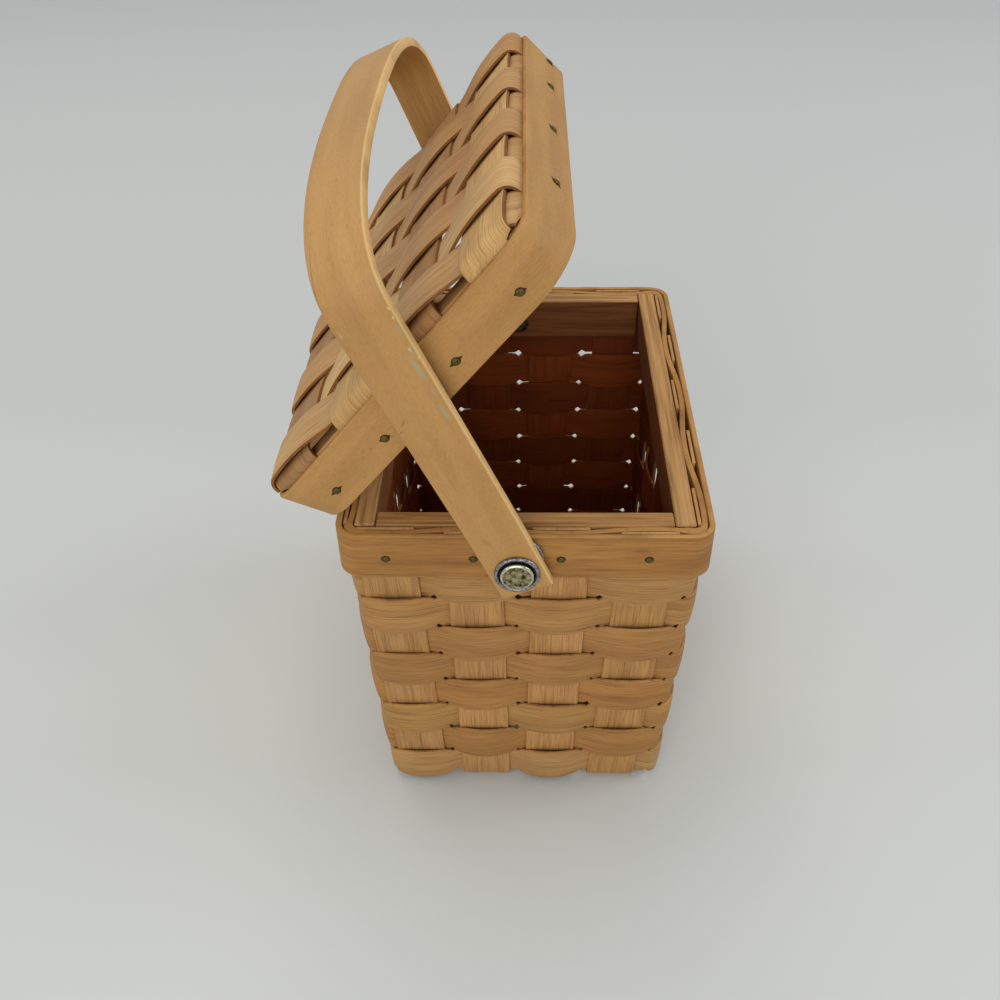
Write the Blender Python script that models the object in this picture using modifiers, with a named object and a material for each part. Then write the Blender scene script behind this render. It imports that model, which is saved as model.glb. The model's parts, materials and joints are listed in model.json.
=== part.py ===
"""A small lidded basket of woven wood splints, with a swing handle.

Metres, +Z up. The origin is on the underside of the base, below the middle of the opening. The lid stands
tipped up on its hinges along the left long side, and the handle leans to the left, as when the basket is
shown open."""

import math

import bmesh
import bpy

# Overall sizes: the rim is the widest part, and the walls lean in towards the base.
RIM_WIDTH = 0.125
RIM_DEPTH = 0.166
BASKET_HEIGHT = 0.141
WALL_LEAN = 0.0055

# The two bent bands, one round the rim and one round the lid, and the sawn strips inside them.
BAND_HEIGHT = 0.018
BAND_THICK = 0.002
RIM_CORNER = 0.008
LID_CORNER_LOW = 0.018
LID_CORNER_HIGH = 0.008
FRAME_THICK = 0.013
STRIP_EDGE = 0.0005

# Splints: upright stakes that cross under the base, and weavers that run round the walls.
STAKE_WIDTH = 0.019
STAKE_THICK = 0.0012
WEAVER_THICK = 0.0009
STAKES_ACROSS = 4
STAKES_ALONG = 5
SIDE_SHIFT = -0.0025
WALL_CORNER = 0.003
STAKE_BEND = 0.0022
STAKE_TOP_DROP = 0.0005
WALL_ROWS = 8
RIM_WEAVER_DROP = 0.0015
LOWEST_ROW_CLEAR = 0.0034

# Clearances between pieces that lie against each other.
PIECE_GAP = 0.0003
WEAVE_GAP = 0.00025
ROW_GAP = 0.0004
BAND_CLEAR = 0.00035
FLAT_MARGIN = 0.0004
BASE_FLAT_MARGIN = 0.0019

# The lid and how far it is tipped up.
LID_SPLINTS = 4
LID_CROSSES = 8
LID_BEND = 0.002
LID_TAIL = 0.009
LID_TILT = math.radians(50.5)

# The swing handle: a bent strip with straight legs and an arched top.
HANDLE_WIDTH = 0.0182
HANDLE_THICK = 0.0032
HANDLE_FLARE = 0.0042
HANDLE_RISE = 0.0259
HANDLE_ABOVE_LID = 0.012009
HANDLE_END = 0.008
HANDLE_FLAT = 0.014
HANDLE_ARCH_POWER = 2.6
HANDLE_EDGE = 0.0004
HANDLE_LEAN = math.radians(23.0)

# Rivets, washers and nails.
RIVET_DROP = 0.0016
RIVET_SHANK = 0.002
RIVET_CLEAR = 0.0003
RIVET_HEAD = 0.0058
RIVET_DOME = 0.0016
RIVET_CLINCH = 0.0042
RIVET_CLINCH_THICK = 0.0012
WASHER_RADIUS = 0.0075
WASHER_OUTER_THICK = 0.001
WASHER_INNER_THICK = 0.0016
NAIL_HEAD = 0.0014
NAIL_HEAD_THICK = 0.0006
NAIL_SHANK = 0.0006
NAIL_LENGTH = 0.0105
NAIL_CLEAR = 0.0002

# Two butt hinges on the left long side.
LID_GAP = 0.0006
HINGE_DROP = 0.0025
HINGE_LENGTH = 0.014
HINGE_LEAF = 0.0085
HINGE_THICK = 0.0007
KNUCKLE_RADIUS = 0.0015
HINGE_PIN = 0.00065
PIN_CLEAR = 0.0001
PIN_END = 0.0004
KNUCKLE_GAP = 0.0003
LEAF_CLEAR = 0.0004
HINGE_PLACE_SHARES = (-0.3, 0.3)

# How finely curved lines are divided, which edges stay sharp, and how far a cutter runs past what it cuts.
CORNER_STEPS = 5
EASE_STEPS = 3
BEND_STEPS = 4
ARCH_STEPS = 24
TURN_STEPS = 16
SHARP_ANGLE = math.radians(35)
CUT_OVERRUN = 0.001
MERGE = 0.00001

# Values that follow from those above.
WEAVE_WAVE = (STAKE_THICK + WEAVER_THICK) / 2 + WEAVE_GAP
WEAVE_ZONE = STAKE_THICK + 2 * (WEAVER_THICK + WEAVE_GAP) + 2 * BAND_CLEAR
STRIP_THICK = FRAME_THICK - BAND_THICK - WEAVE_ZONE
LID_ZONE = STAKE_THICK + 2 * PIECE_GAP
LID_STRIP_THICK = FRAME_THICK - BAND_THICK - LID_ZONE
BASE_WAVE = (STAKE_THICK + PIECE_GAP) / 2
BASE_MIDDLE = BASE_WAVE + STAKE_THICK / 2
ROW_PITCH = (BASKET_HEIGHT - RIM_WEAVER_DROP - LOWEST_ROW_CLEAR) / (WALL_ROWS + 1)
RIM_LOW = BASKET_HEIGHT - BAND_HEIGHT
PIVOT_X = SIDE_SHIFT
NAIL_Z = BASKET_HEIGHT - BAND_HEIGHT / 2
PIVOT_Z = NAIL_Z - RIVET_DROP
HINGE_OUT = PIECE_GAP + KNUCKLE_RADIUS
HINGE_X = -(RIM_WIDTH / 2 + HINGE_OUT)
HINGE_Z = BASKET_HEIGHT - HINGE_DROP
LID_LOW = HINGE_DROP + LID_GAP
LID_HIGH = LID_LOW + BAND_HEIGHT
LID_LEVEL = LID_HIGH + PIECE_GAP + LID_BEND + WEAVE_WAVE
LID_MIDDLE_X = HINGE_OUT + RIM_WIDTH / 2
HANDLE_INSIDE = RIM_DEPTH / 2 + 2 * PIECE_GAP + WASHER_INNER_THICK
HANDLE_OUTSIDE = HANDLE_INSIDE + HANDLE_THICK
HANDLE_HALF_SPAN = HANDLE_INSIDE + HANDLE_THICK / 2 + HANDLE_FLARE
LID_FAR = LID_MIDDLE_X + RIM_WIDTH / 2
LID_FAR_X = HINGE_X + LID_FAR * math.cos(LID_TILT) - LID_HIGH * math.sin(LID_TILT)
LID_FAR_Z = HINGE_Z + LID_FAR * math.sin(LID_TILT) + LID_HIGH * math.cos(LID_TILT)
HANDLE_HEIGHT = math.hypot(LID_FAR_X - PIVOT_X, LID_FAR_Z - PIVOT_Z) + HANDLE_ABOVE_LID
HANDLE_LEG = HANDLE_HEIGHT - HANDLE_RISE


def start_scene():
    """Clears the scene and makes the collections for the basket and for its cutters."""
    for old in list(bpy.data.objects):
        bpy.data.objects.remove(old)
    kept = []
    for name in ("splint_basket", "cutters"):
        kept.append(bpy.data.collections.new(name))
        bpy.context.scene.collection.children.link(kept[-1])
    return kept


def finish(name, colour, roughness, metallic=0.0):
    """A material with one colour, roughness and metallic value."""
    made = bpy.data.materials.new(name)
    made.use_nodes = True
    shader = made.node_tree.nodes["Principled BSDF"]
    shader.inputs["Base Color"].default_value = (*colour, 1)
    shader.inputs["Roughness"].default_value = roughness
    shader.inputs["Metallic"].default_value = metallic
    return made


def band_wood():
    """The pale, bent wood of the two bands."""
    return finish("bent band wood", (0.62, 0.40, 0.19), 0.6)


def strip_wood():
    """The sawn wood of the strips inside the bands."""
    return finish("sawn strip wood", (0.60, 0.38, 0.18), 0.65)


def stake_wood():
    """The split wood of the stakes, a little darker than the bands."""
    return finish("stake splint wood", (0.52, 0.30, 0.14), 0.65)


def weaver_wood():
    """The thin, pale splint that is woven round the walls."""
    return finish("weaver splint wood", (0.58, 0.36, 0.17), 0.65)


def lid_wood():
    """The splints of the lid's woven top."""
    return finish("lid splint wood", (0.60, 0.38, 0.19), 0.65)


def handle_wood():
    """The handle's warm, worn wood."""
    return finish("handle wood", (0.60, 0.34, 0.13), 0.5)


def rivet_metal():
    """The rivets' dull brass."""
    return finish("dull brass rivet", (0.42, 0.38, 0.30), 0.4, 1.0)


def washer_metal():
    """The washers' grey zinc plate."""
    return finish("zinc plated washer", (0.36, 0.35, 0.33), 0.45, 1.0)


def nail_metal():
    """The nails' dark, tarnished heads."""
    return finish("tarnished nail", (0.12, 0.11, 0.07), 0.5, 1.0)


def hinge_metal():
    """The hinges' brass-plated steel."""
    return finish("plated hinge steel", (0.45, 0.36, 0.20), 0.4, 1.0)


def anchor(name, place, turn=0.0):
    """An empty on a joint's axis, turned about the axis that runs front to back."""
    made = bpy.data.objects.new(name, None)
    made.location = place
    made.rotation_euler = (0, turn, 0)
    BASKET.objects.link(made)
    return made


def add_object(name, shape, material, parent):
    """Turns a finished bmesh into an object that hangs on its body's empty."""
    mesh = bpy.data.meshes.new(name)
    shape.to_mesh(mesh)
    shape.free()
    mesh.shade_smooth()
    mesh.set_sharp_from_angle(angle=SHARP_ANGLE)
    made = bpy.data.objects.new(name, mesh)
    made.data.materials.append(material)
    made.parent = parent
    BASKET.objects.link(made)
    return made


def place_drawn(drawn, places):
    """Moves an extrusion's new points to their places, which are given by the point that each came from."""
    for vert in drawn:
        if isinstance(vert, bmesh.types.BMVert):
            beside = [edge.other_vert(vert) for edge in vert.link_edges]
            vert.co = next(places[source] for source in beside if source in places)


def sheet(name, near, far, thick, material, parent, closed=False):
    """A splint: a surface drawn from one line of points to another, given its thickness about the middle."""
    shape = bmesh.new()
    line = [shape.verts.new(point) for point in near]
    ends = line[1:] + line[:1] if closed else line[1:]
    edges = [shape.edges.new(pair) for pair in zip(line, ends)]
    drawn = bmesh.ops.extrude_edge_only(shape, edges=edges)["geom"]
    place_drawn(drawn, dict(zip(line, far)))
    bmesh.ops.recalc_face_normals(shape, faces=shape.faces[:])
    made = add_object(name, shape, material, parent)
    solid = made.modifiers.new("thickness", "SOLIDIFY")
    solid.thickness = thick
    solid.offset = 0
    solid.use_even_offset = True
    return made


def ease_edges(made, width):
    """Takes off the sharp edges of a sawn or bent piece."""
    ease = made.modifiers.new("eased_edges", "BEVEL")
    ease.width = width
    ease.segments = 1
    ease.limit_method = "ANGLE"
    return made


def box(name, low, high, material, parent, edge=0.0):
    """A sawn block between two corners, with its edges eased."""
    shape = bmesh.new()
    bmesh.ops.create_cube(shape, size=1)
    size = [b - a for a, b in zip(low, high)]
    middle = [(a + b) / 2 for a, b in zip(low, high)]
    bmesh.ops.scale(shape, vec=size, verts=shape.verts)
    bmesh.ops.translate(shape, vec=middle, verts=shape.verts)
    made = add_object(name, shape, material, parent)
    return ease_edges(made, edge) if edge else made


def cylinder(name, radius, length, material, parent):
    """A round bar that runs front to back, centred on its parent."""
    shape = bmesh.new()
    bmesh.ops.create_cone(
        shape, cap_ends=True, segments=TURN_STEPS, radius1=radius, radius2=radius, depth=length
    )
    made = add_object(name, shape, material, parent)
    made.rotation_euler = (math.radians(90), 0, 0)
    return made


def turned(name, profile, material, parent, facing, ring=False):
    """A turned piece with its axis front to back. The profile is (radius, distance from the middle plane)."""
    shape = bmesh.new()
    line = [shape.verts.new((radius, 0, height)) for radius, height in profile]
    for pair in zip(line, line[1:] + line[:1] if ring else line[1:]):
        shape.edges.new(pair)
    made = add_object(name, shape, material, parent)
    made.rotation_euler = (math.radians(90) * facing, 0, 0)
    turn = made.modifiers.new("turned", "SCREW")
    turn.steps = TURN_STEPS
    turn.render_steps = TURN_STEPS
    turn.use_merge_vertices = True
    turn.merge_threshold = MERGE
    return made


def as_cutter(made):
    """Moves an object to the cutters, out of the finished basket."""
    BASKET.objects.unlink(made)
    CUTTERS.objects.link(made)
    made.hide_render = True
    made.display_type = "WIRE"
    return made


def combine(target, other, operation):
    """Cuts another object from this one, or joins it on."""
    change = target.modifiers.new(other.name, "BOOLEAN")
    change.object = other
    change.operation = operation
    change.solver = "EXACT"


def half_across(z):
    """Half the distance between the left and right walls, at the middle of the weave. The rim is upright."""
    lean = WALL_LEAN * max(1 - z / RIM_LOW, 0)
    return RIM_WIDTH / 2 - BAND_THICK - WEAVE_ZONE / 2 - lean


def half_along(z):
    """Half the distance between the front and back walls, at the middle of the weave."""
    return half_across(z) + (RIM_DEPTH - RIM_WIDTH) / 2


def across_place(index, z):
    """Where a front stake's middle stands, left to right, at a height."""
    room = half_across(z) - WALL_CORNER - STAKE_WIDTH / 2 - abs(SIDE_SHIFT)
    return SIDE_SHIFT + room * (2 * index / (STAKES_ACROSS - 1) - 1)


def along_place(index, z):
    """Where a side stake's middle stands, front to back, at a height."""
    room = half_along(z) - WALL_CORNER - STAKE_WIDTH / 2
    return room * (2 * index / (STAKES_ALONG - 1) - 1)


def on_wall(run, z, corner):
    """The point and outward direction at a distance round the walls, from the left end of the front."""
    across, along = half_across(z) - corner, half_along(z) - corner
    arc = corner * math.pi / 2
    for quarter in range(4):
        side = 2 * (along if quarter % 2 else across)
        other = across if quarter % 2 else along
        if run <= side + arc or quarter == 3:
            break
        run -= side + arc
    turn = quarter * math.pi / 2
    bend = min(max(run - side, 0.0), arc) / corner
    straight = min(run, side) - side / 2
    x = straight + corner * math.sin(bend)
    y = -other - corner * math.cos(bend)
    out = (math.sin(bend), -math.cos(bend))
    cos, sin = math.cos(turn), math.sin(turn)
    return tuple((a * cos - b * sin, a * sin + b * cos) for a, b in ((x, y), out))


def stake_runs(z):
    """The distances round the walls to each stake's middle and to where each corner starts, and all round."""
    across, along = half_across(z) - WALL_CORNER, half_along(z) - WALL_CORNER
    arc = WALL_CORNER * math.pi / 2
    front = [across + across_place(i, z) for i in range(STAKES_ACROSS)]
    right = [along + along_place(i, z) for i in range(STAKES_ALONG)]
    back = [across - across_place(i, z) for i in reversed(range(STAKES_ACROSS))]
    left = [along - along_place(i, z) for i in reversed(range(STAKES_ALONG))]
    starts = (0, 2 * across + arc, 2 * (across + along + arc), 4 * across + 2 * along + 3 * arc)
    total = 4 * (across + along + arc)
    corners = [after - arc for after in starts[1:] + (total,)]
    stakes = [start + run for start, side in zip(starts, (front, right, back, left)) for run in side]
    return stakes, corners, total


def eased(share):
    """A smooth step from 0 to 1."""
    return share * share * (3 - 2 * share)


def weaver_line(z, row):
    """Points round the walls at a height: outside one stake, inside the next, easing across between them."""
    runs, corners, total = stake_runs(z)
    flat = STAKE_WIDTH / 2 + FLAT_MARGIN
    arc = WALL_CORNER * math.pi / 2
    points = []
    for index, run in enumerate(runs):
        wave = WEAVE_WAVE if (index + row) % 2 == 0 else -WEAVE_WAVE
        after = runs[index + 1] if index + 1 < len(runs) else runs[0] + total
        start, end = run + flat, after - flat
        places = [start + (end - start) * step / EASE_STEPS for step in range(EASE_STEPS)]
        for corner in corners:
            if run < corner < after:
                bend = [corner + arc * step / CORNER_STEPS for step in range(CORNER_STEPS + 1)]
                places = [start] + [place for place in bend if start < place < end]
        samples = [(run - flat, wave)]
        samples += [(place, wave * (1 - 2 * eased((place - start) / (end - start)))) for place in places]
        for place, offset in samples:
            (x, y), out = on_wall(place % total, z, WALL_CORNER)
            points.append((x + out[0] * offset, y + out[1] * offset, z))
    return points


def rounded_line(half_width, half_depth, corner, z):
    """Points round a rectangle with round corners."""
    points = []
    for turn, (side_x, side_y) in enumerate(((1, -1), (1, 1), (-1, 1), (-1, -1))):
        for step in range(CORNER_STEPS + 1):
            angle = math.pi / 2 * (turn - 1 + step / CORNER_STEPS)
            x = side_x * (half_width - corner) + corner * math.cos(angle)
            y = side_y * (half_depth - corner) + corner * math.sin(angle)
            points.append((x, y, z))
    return points


def outline(inset, corner, middle_x, z):
    """Points round the rim or the lid, an inset within its outer face, at a height."""
    line = rounded_line(RIM_WIDTH / 2 - inset, RIM_DEPTH / 2 - inset, corner - inset, z)
    return [(x + middle_x, y, z) for x, y, z in line]


def band(name, low, high, corners, middle_x, material, parent):
    """A bent band between two heights, with a corner radius for each."""
    near, far = (outline(BAND_THICK / 2, corner, middle_x, z) for corner, z in zip(corners, (low, high)))
    return sheet(name, near, far, BAND_THICK, material, parent, closed=True)


def core(name, low, high, corners, inset, middle_x, material, parent):
    """The space inside a band, as a closed block, for shaping what fits in it."""
    shape = bmesh.new()
    near, far = (outline(inset, corner, middle_x, z) for corner, z in zip(corners, (low, high)))
    face = shape.faces.new([shape.verts.new(point) for point in near])
    places = dict(zip(face.verts, far))
    drawn = bmesh.ops.extrude_face_region(shape, geom=[face], use_keep_orig=True)["geom"]
    place_drawn(drawn, places)
    bmesh.ops.recalc_face_normals(shape, faces=shape.faces[:])
    return as_cutter(add_object(name, shape, material, parent))


def bent_line(half, heights, bend, crossings):
    """One splint's side view: up one end, over or under each crossing, and up the other end.

    half gives the splint's middle plane at a height. The heights are those of its end and of where it may
    kink. The crossings are (place, half width, level), in order."""
    points = []
    for side, level in ((-1, crossings[0][2]), (1, crossings[-1][2])):
        centre = half(level + bend) - bend
        turn = [(side * half(height), height) for height in heights]
        for step in range(BEND_STEPS + 1):
            angle = math.pi / 2 * step / BEND_STEPS
            turn.append((side * (centre + bend * math.cos(angle)), level + bend - bend * math.sin(angle)))
        points.append(turn)
    middle = []
    for (place, width, level), (after, after_width, after_level) in zip(crossings, crossings[1:]):
        start, end = place + width, after - after_width
        for step in range(EASE_STEPS + 1):
            share = step / EASE_STEPS
            middle.append((start + (end - start) * share, level + (after_level - level) * eased(share)))
    return points[0] + middle + points[1][::-1]


def base_level(row, column):
    """How high a front stake lies at a crossing in the base. The side stake there lies at the other level."""
    return BASE_MIDDLE + (BASE_WAVE if (row + column) % 2 == 0 else -BASE_WAVE)


def front_stake(index, material, parent):
    """A stake up the front wall, across under the base and up the back wall."""
    flat = STAKE_WIDTH / 2 + BASE_FLAT_MARGIN
    levels = [base_level(index, other) for other in range(STAKES_ALONG)]
    crossings = [(along_place(other, 0), flat, levels[other]) for other in range(STAKES_ALONG)]
    line = bent_line(half_along, (BASKET_HEIGHT - STAKE_TOP_DROP, RIM_LOW), STAKE_BEND, crossings)
    sides = [
        [(across_place(index, z) + side * STAKE_WIDTH / 2, y, z) for y, z in line] for side in (-1, 1)
    ]
    return sheet(f"front_stake_{index + 1}", sides[0], sides[1], STAKE_THICK, material, parent)


def side_stake(index, material, parent):
    """A stake up the left wall, across under the base and up the right wall."""
    flat = STAKE_WIDTH / 2 + BASE_FLAT_MARGIN
    levels = [2 * BASE_MIDDLE - base_level(other, index) for other in range(STAKES_ACROSS)]
    crossings = [(across_place(other, 0), flat, levels[other]) for other in range(STAKES_ACROSS)]
    line = bent_line(half_across, (BASKET_HEIGHT - STAKE_TOP_DROP, RIM_LOW), STAKE_BEND, crossings)
    sides = [
        [(x, along_place(index, z) + side * STAKE_WIDTH / 2, z) for x, z in line] for side in (-1, 1)
    ]
    return sheet(f"side_stake_{index + 1}", sides[0], sides[1], STAKE_THICK, material, parent)


def weaver(row, material, parent):
    """One weaver round the walls. Row 0 is held inside the rim, and the last row is next to the base."""
    top = BASKET_HEIGHT - RIM_WEAVER_DROP - row * ROW_PITCH
    low = top - ROW_PITCH + ROW_GAP
    name = f"weaver_{row}" if row else "rim_weaver"
    edges = [weaver_line(z, row) for z in (low, top)]
    return sheet(name, *edges, WEAVER_THICK, material, parent, closed=True)


def frame_strips(prefix, inset, thick, low, high, middle_x, material, parent):
    """Four sawn strips inside a band: the left and right run full length, the front and back fit between."""
    outer_x, outer_y = RIM_WIDTH / 2 - inset, RIM_DEPTH / 2 - inset
    inner_x, inner_y = outer_x - thick, outer_y - thick
    reach = inner_x - PIECE_GAP
    corners = {}
    for name, side in (("left", -1), ("right", 1)):
        near, far = sorted((side * inner_x + middle_x, side * outer_x + middle_x))
        corners[name] = (near, -outer_y, low), (far, outer_y, high)
    for name, side in (("front", -1), ("back", 1)):
        near, far = sorted((side * inner_y, side * outer_y))
        corners[name] = (middle_x - reach, near, low), (middle_x + reach, far, high)
    return {
        name: box(f"{prefix}_{name}_strip", start, end, material, parent, STRIP_EDGE)
        for name, (start, end) in corners.items()
    }


def tail_reach(half_facing, half_beside, out, z):
    """How far from its middle the tail of a lid splint may spread before it meets the band's round corner."""
    share = min(max((z - LID_LOW) / BAND_HEIGHT, 0), 1)
    corner = LID_CORNER_LOW + (LID_CORNER_HIGH - LID_CORNER_LOW) * share
    inside = corner - BAND_THICK
    depth = out + PIECE_GAP - (half_facing - corner)
    return half_beside - corner + math.sqrt(max(inside ** 2 - depth ** 2, 0))


def lid_piece(name, half_facing, half_beside, place, thick, crossings, material, parent, crosswise):
    """A splint woven into the lid. Its tails turn down inside the band, trimmed where the corners need it."""
    plane = half_facing - BAND_THICK - LID_ZONE / 2
    line = bent_line(lambda z: plane, (LID_TAIL - LID_HIGH, -LID_HIGH), LID_BEND, crossings)
    sides = []
    for side in (-1, 1):
        edge = place + side * STAKE_WIDTH / 2
        points = []
        for along, depth in line:
            z = -depth
            reach = half_beside
            if z <= LID_HIGH:
                reach = tail_reach(half_facing, half_beside, plane + thick / 2, z)
            kept = min(max(edge, -reach), reach)
            points.append((along + LID_MIDDLE_X, kept, z) if crosswise else (kept + LID_MIDDLE_X, along, z))
        sides.append(points)
    return sheet(name, sides[0], sides[1], thick, material, parent)


def lid_places(half, count):
    """Where the middles of the lid's splints lie, evenly spread between the other splints' bends."""
    room = half - BAND_THICK - LID_ZONE / 2 - LID_BEND - STAKE_WIDTH / 2
    return [room * (2 * index / (count - 1) - 1) for index in range(count)]


def woven_top(material, parent):
    """The lid's top: flat splints front to back, and splints woven over and under them from left to right."""
    half_width, half_depth = RIM_WIDTH / 2, RIM_DEPTH / 2
    flat = STAKE_WIDTH / 2 + FLAT_MARGIN
    places = lid_places(half_width, LID_SPLINTS)
    level = [(0, flat, -LID_LEVEL)]
    for index, place in enumerate(places):
        name = f"lid_splint_{index + 1}"
        lid_piece(name, half_depth, half_width, place, STAKE_THICK, level, material, parent, False)
    for index, row in enumerate(lid_places(half_depth, LID_CROSSES)):
        crossings = []
        for other, place in enumerate(places):
            wave = WEAVE_WAVE if (other + index) % 2 == 0 else -WEAVE_WAVE
            crossings.append((place, flat, -(LID_LEVEL + wave)))
        name = f"lid_cross_{index + 1}"
        lid_piece(name, half_width, half_depth, row, WEAVER_THICK, crossings, material, parent, True)


def handle_line():
    """The handle's middle line, front end to back end, as (place front to back, height over the pivot)."""
    foot = HANDLE_INSIDE + HANDLE_THICK / 2
    leg = [(foot, -HANDLE_END), (foot, 0), (foot, HANDLE_FLAT), (HANDLE_HALF_SPAN, HANDLE_LEG)]
    power = 2 / HANDLE_ARCH_POWER
    arch = []
    for step in range(1, ARCH_STEPS):
        angle = math.pi * step / ARCH_STEPS
        reach = HANDLE_HALF_SPAN * math.copysign(abs(math.cos(angle)) ** power, math.cos(angle))
        rise = (HANDLE_HEIGHT - HANDLE_LEG) * math.sin(angle) ** power
        arch.append((-reach, HANDLE_LEG + rise))
    return [(-y, z) for y, z in leg] + arch + leg[::-1]


def handle(bore, material, parent):
    """The bent strip, with a hole at each end for its rivet."""
    line = handle_line()
    sides = [[(side * HANDLE_WIDTH / 2, y, z) for y, z in line] for side in (-1, 1)]
    made = ease_edges(sheet("handle", sides[0], sides[1], HANDLE_THICK, material, parent), HANDLE_EDGE)
    combine(made, bore, "DIFFERENCE")


def rivet(name, facing, material, parent):
    """A clinched rivet: a low dome outside, a flat clinch inside the basket."""
    base = HANDLE_OUTSIDE + 2 * PIECE_GAP + WASHER_OUTER_THICK
    clinch = RIM_DEPTH / 2 - FRAME_THICK - PIECE_GAP
    profile = [(0, base + RIVET_DOME)]
    for step in range(1, BEND_STEPS + 1):
        angle = math.pi / 2 * step / BEND_STEPS
        profile.append((RIVET_HEAD * math.sin(angle), base + RIVET_DOME * math.cos(angle)))
    profile += [(RIVET_SHANK, base), (RIVET_SHANK, clinch), (RIVET_CLINCH, clinch)]
    profile += [(RIVET_CLINCH, clinch - RIVET_CLINCH_THICK), (0, clinch - RIVET_CLINCH_THICK)]
    return turned(name, profile, material, parent, facing)


def washer(name, near, thick, facing, material, parent):
    """A flat ring round a rivet, between two distances from the middle of the basket."""
    hole = RIVET_SHANK + RIVET_CLEAR
    far = near + thick
    profile = [(hole, far), (WASHER_RADIUS, far), (WASHER_RADIUS, near), (hole, near)]
    return turned(name, profile, material, parent, facing, ring=True)


def nail_profile(head, head_thick, shank, length, face):
    """A flat-headed nail driven in flush with a face."""
    step = face - head_thick
    return [(0, face), (head, face), (head, step), (shank, step), (shank, face - length), (0, face - length)]


def hinge_leaf(name, middle_y, side, end, knuckles, material, parent):
    """A hinge leaf: its plate, above or below the pin, and its knuckles round the pin."""
    inner = HINGE_OUT - PIECE_GAP
    outer = inner - HINGE_THICK
    start = KNUCKLE_RADIUS + LEAF_CLEAR
    low, high = sorted((side * start, side * end))
    half = HINGE_LENGTH / 2
    made = box(name, (outer, middle_y - half, low), (inner, middle_y + half, high), material, parent)
    for index, (near, far) in enumerate(knuckles):
        neck_low, neck_high = sorted((0, side * (start + CUT_OVERRUN)))
        neck = box(f"{name}_neck_{index}", (outer, near, neck_low), (inner, far, neck_high), material, parent)
        combine(made, as_cutter(neck), "UNION")
        barrel = cylinder(f"{name}_barrel_{index}", KNUCKLE_RADIUS, far - near, material, parent)
        barrel.location = (0, (near + far) / 2, 0)
        combine(made, as_cutter(barrel), "UNION")
    bore = cylinder(f"{name}_bore", HINGE_PIN + PIN_CLEAR, HINGE_LENGTH + 2 * CUT_OVERRUN, material, parent)
    bore.location = (0, middle_y, 0)
    combine(made, as_cutter(bore), "DIFFERENCE")
    return made


def hinge(name, middle_y, material, seat, tipped):
    """A butt hinge: one leaf on the rim, one on the lid, and the pin through both."""
    third = HINGE_LENGTH / 3
    low, high = middle_y - HINGE_LENGTH / 2, middle_y + HINGE_LENGTH / 2
    middle = [(low + third + KNUCKLE_GAP, high - third - KNUCKLE_GAP)]
    outer = [(low, low + third), (high - third, high)]
    hinge_leaf(f"{name}_rim_leaf", middle_y, -1, HINGE_LEAF, middle, material, seat)
    hinge_leaf(f"{name}_lid_leaf", middle_y, 1, LID_LOW + HINGE_LEAF, outer, material, tipped)
    pin = cylinder(f"{name}_pin", HINGE_PIN, HINGE_LENGTH + 2 * PIN_END, material, seat)
    pin.location = (0, middle_y, 0)


def rivets(parent):
    """The two rivets that carry the handle, each with a washer on both sides of it. Gives back their bore."""
    metal, plate = rivet_metal(), washer_metal()
    for name, facing in (("front", 1), ("back", -1)):
        rivet(f"{name}_rivet", facing, metal, parent)
        near = RIM_DEPTH / 2 + PIECE_GAP
        washer(f"{name}_inner_washer", near, WASHER_INNER_THICK, facing, plate, parent)
        near = HANDLE_OUTSIDE + PIECE_GAP
        washer(f"{name}_outer_washer", near, WASHER_OUTER_THICK, facing, plate, parent)
    length = 2 * (HANDLE_OUTSIDE + CUT_OVERRUN)
    return as_cutter(cylinder("rivet_bore", RIVET_SHANK + RIVET_CLEAR, length, metal, parent))


def rim_nail(index, metal):
    """A nail through the front of the rim, at a front stake. Gives back its hole."""
    place = anchor(f"nail_place_{index + 1}", (across_place(index, NAIL_Z), 0, NAIL_Z))
    face = RIM_DEPTH / 2
    profile = nail_profile(NAIL_HEAD, NAIL_HEAD_THICK, NAIL_SHANK, NAIL_LENGTH, face)
    turned(f"rim_nail_{index + 1}", profile, metal, place, 1)
    wide = NAIL_HEAD + NAIL_CLEAR
    profile = nail_profile(
        wide, NAIL_HEAD_THICK + NAIL_CLEAR, NAIL_SHANK + NAIL_CLEAR, NAIL_LENGTH + NAIL_CLEAR, face
    )
    profile[:2] = [(0, face + CUT_OVERRUN), (wide, face + CUT_OVERRUN)]
    return as_cutter(turned(f"nail_hole_{index + 1}", profile, metal, place, 1))


def build_body(root, pivot):
    """Everything that stands still. Gives back the rivets' bore, which the handle needs too."""
    upright, round_walls, sawn, bent = stake_wood(), weaver_wood(), strip_wood(), band_wood()
    fronts = [front_stake(index, upright, root) for index in range(STAKES_ACROSS)]
    for index in range(STAKES_ALONG):
        side_stake(index, upright, root)
    weavers = [weaver(row, round_walls, root) for row in range(WALL_ROWS + 1)]
    rim = band("rim_band", RIM_LOW, BASKET_HEIGHT, (RIM_CORNER, RIM_CORNER), 0, bent, root)
    inset = BAND_THICK + WEAVE_ZONE
    strips = frame_strips("rim", inset, STRIP_THICK, RIM_LOW, BASKET_HEIGHT, 0, sawn, root)
    bore = rivets(pivot)
    for target in (rim, weavers[0], strips["front"], strips["back"]):
        combine(target, bore, "DIFFERENCE")
    metal = nail_metal()
    for index in range(STAKES_ACROSS):
        hole = rim_nail(index, metal)
        for target in (rim, weavers[0], strips["front"], fronts[index]):
            combine(target, hole, "DIFFERENCE")
    return bore


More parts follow.
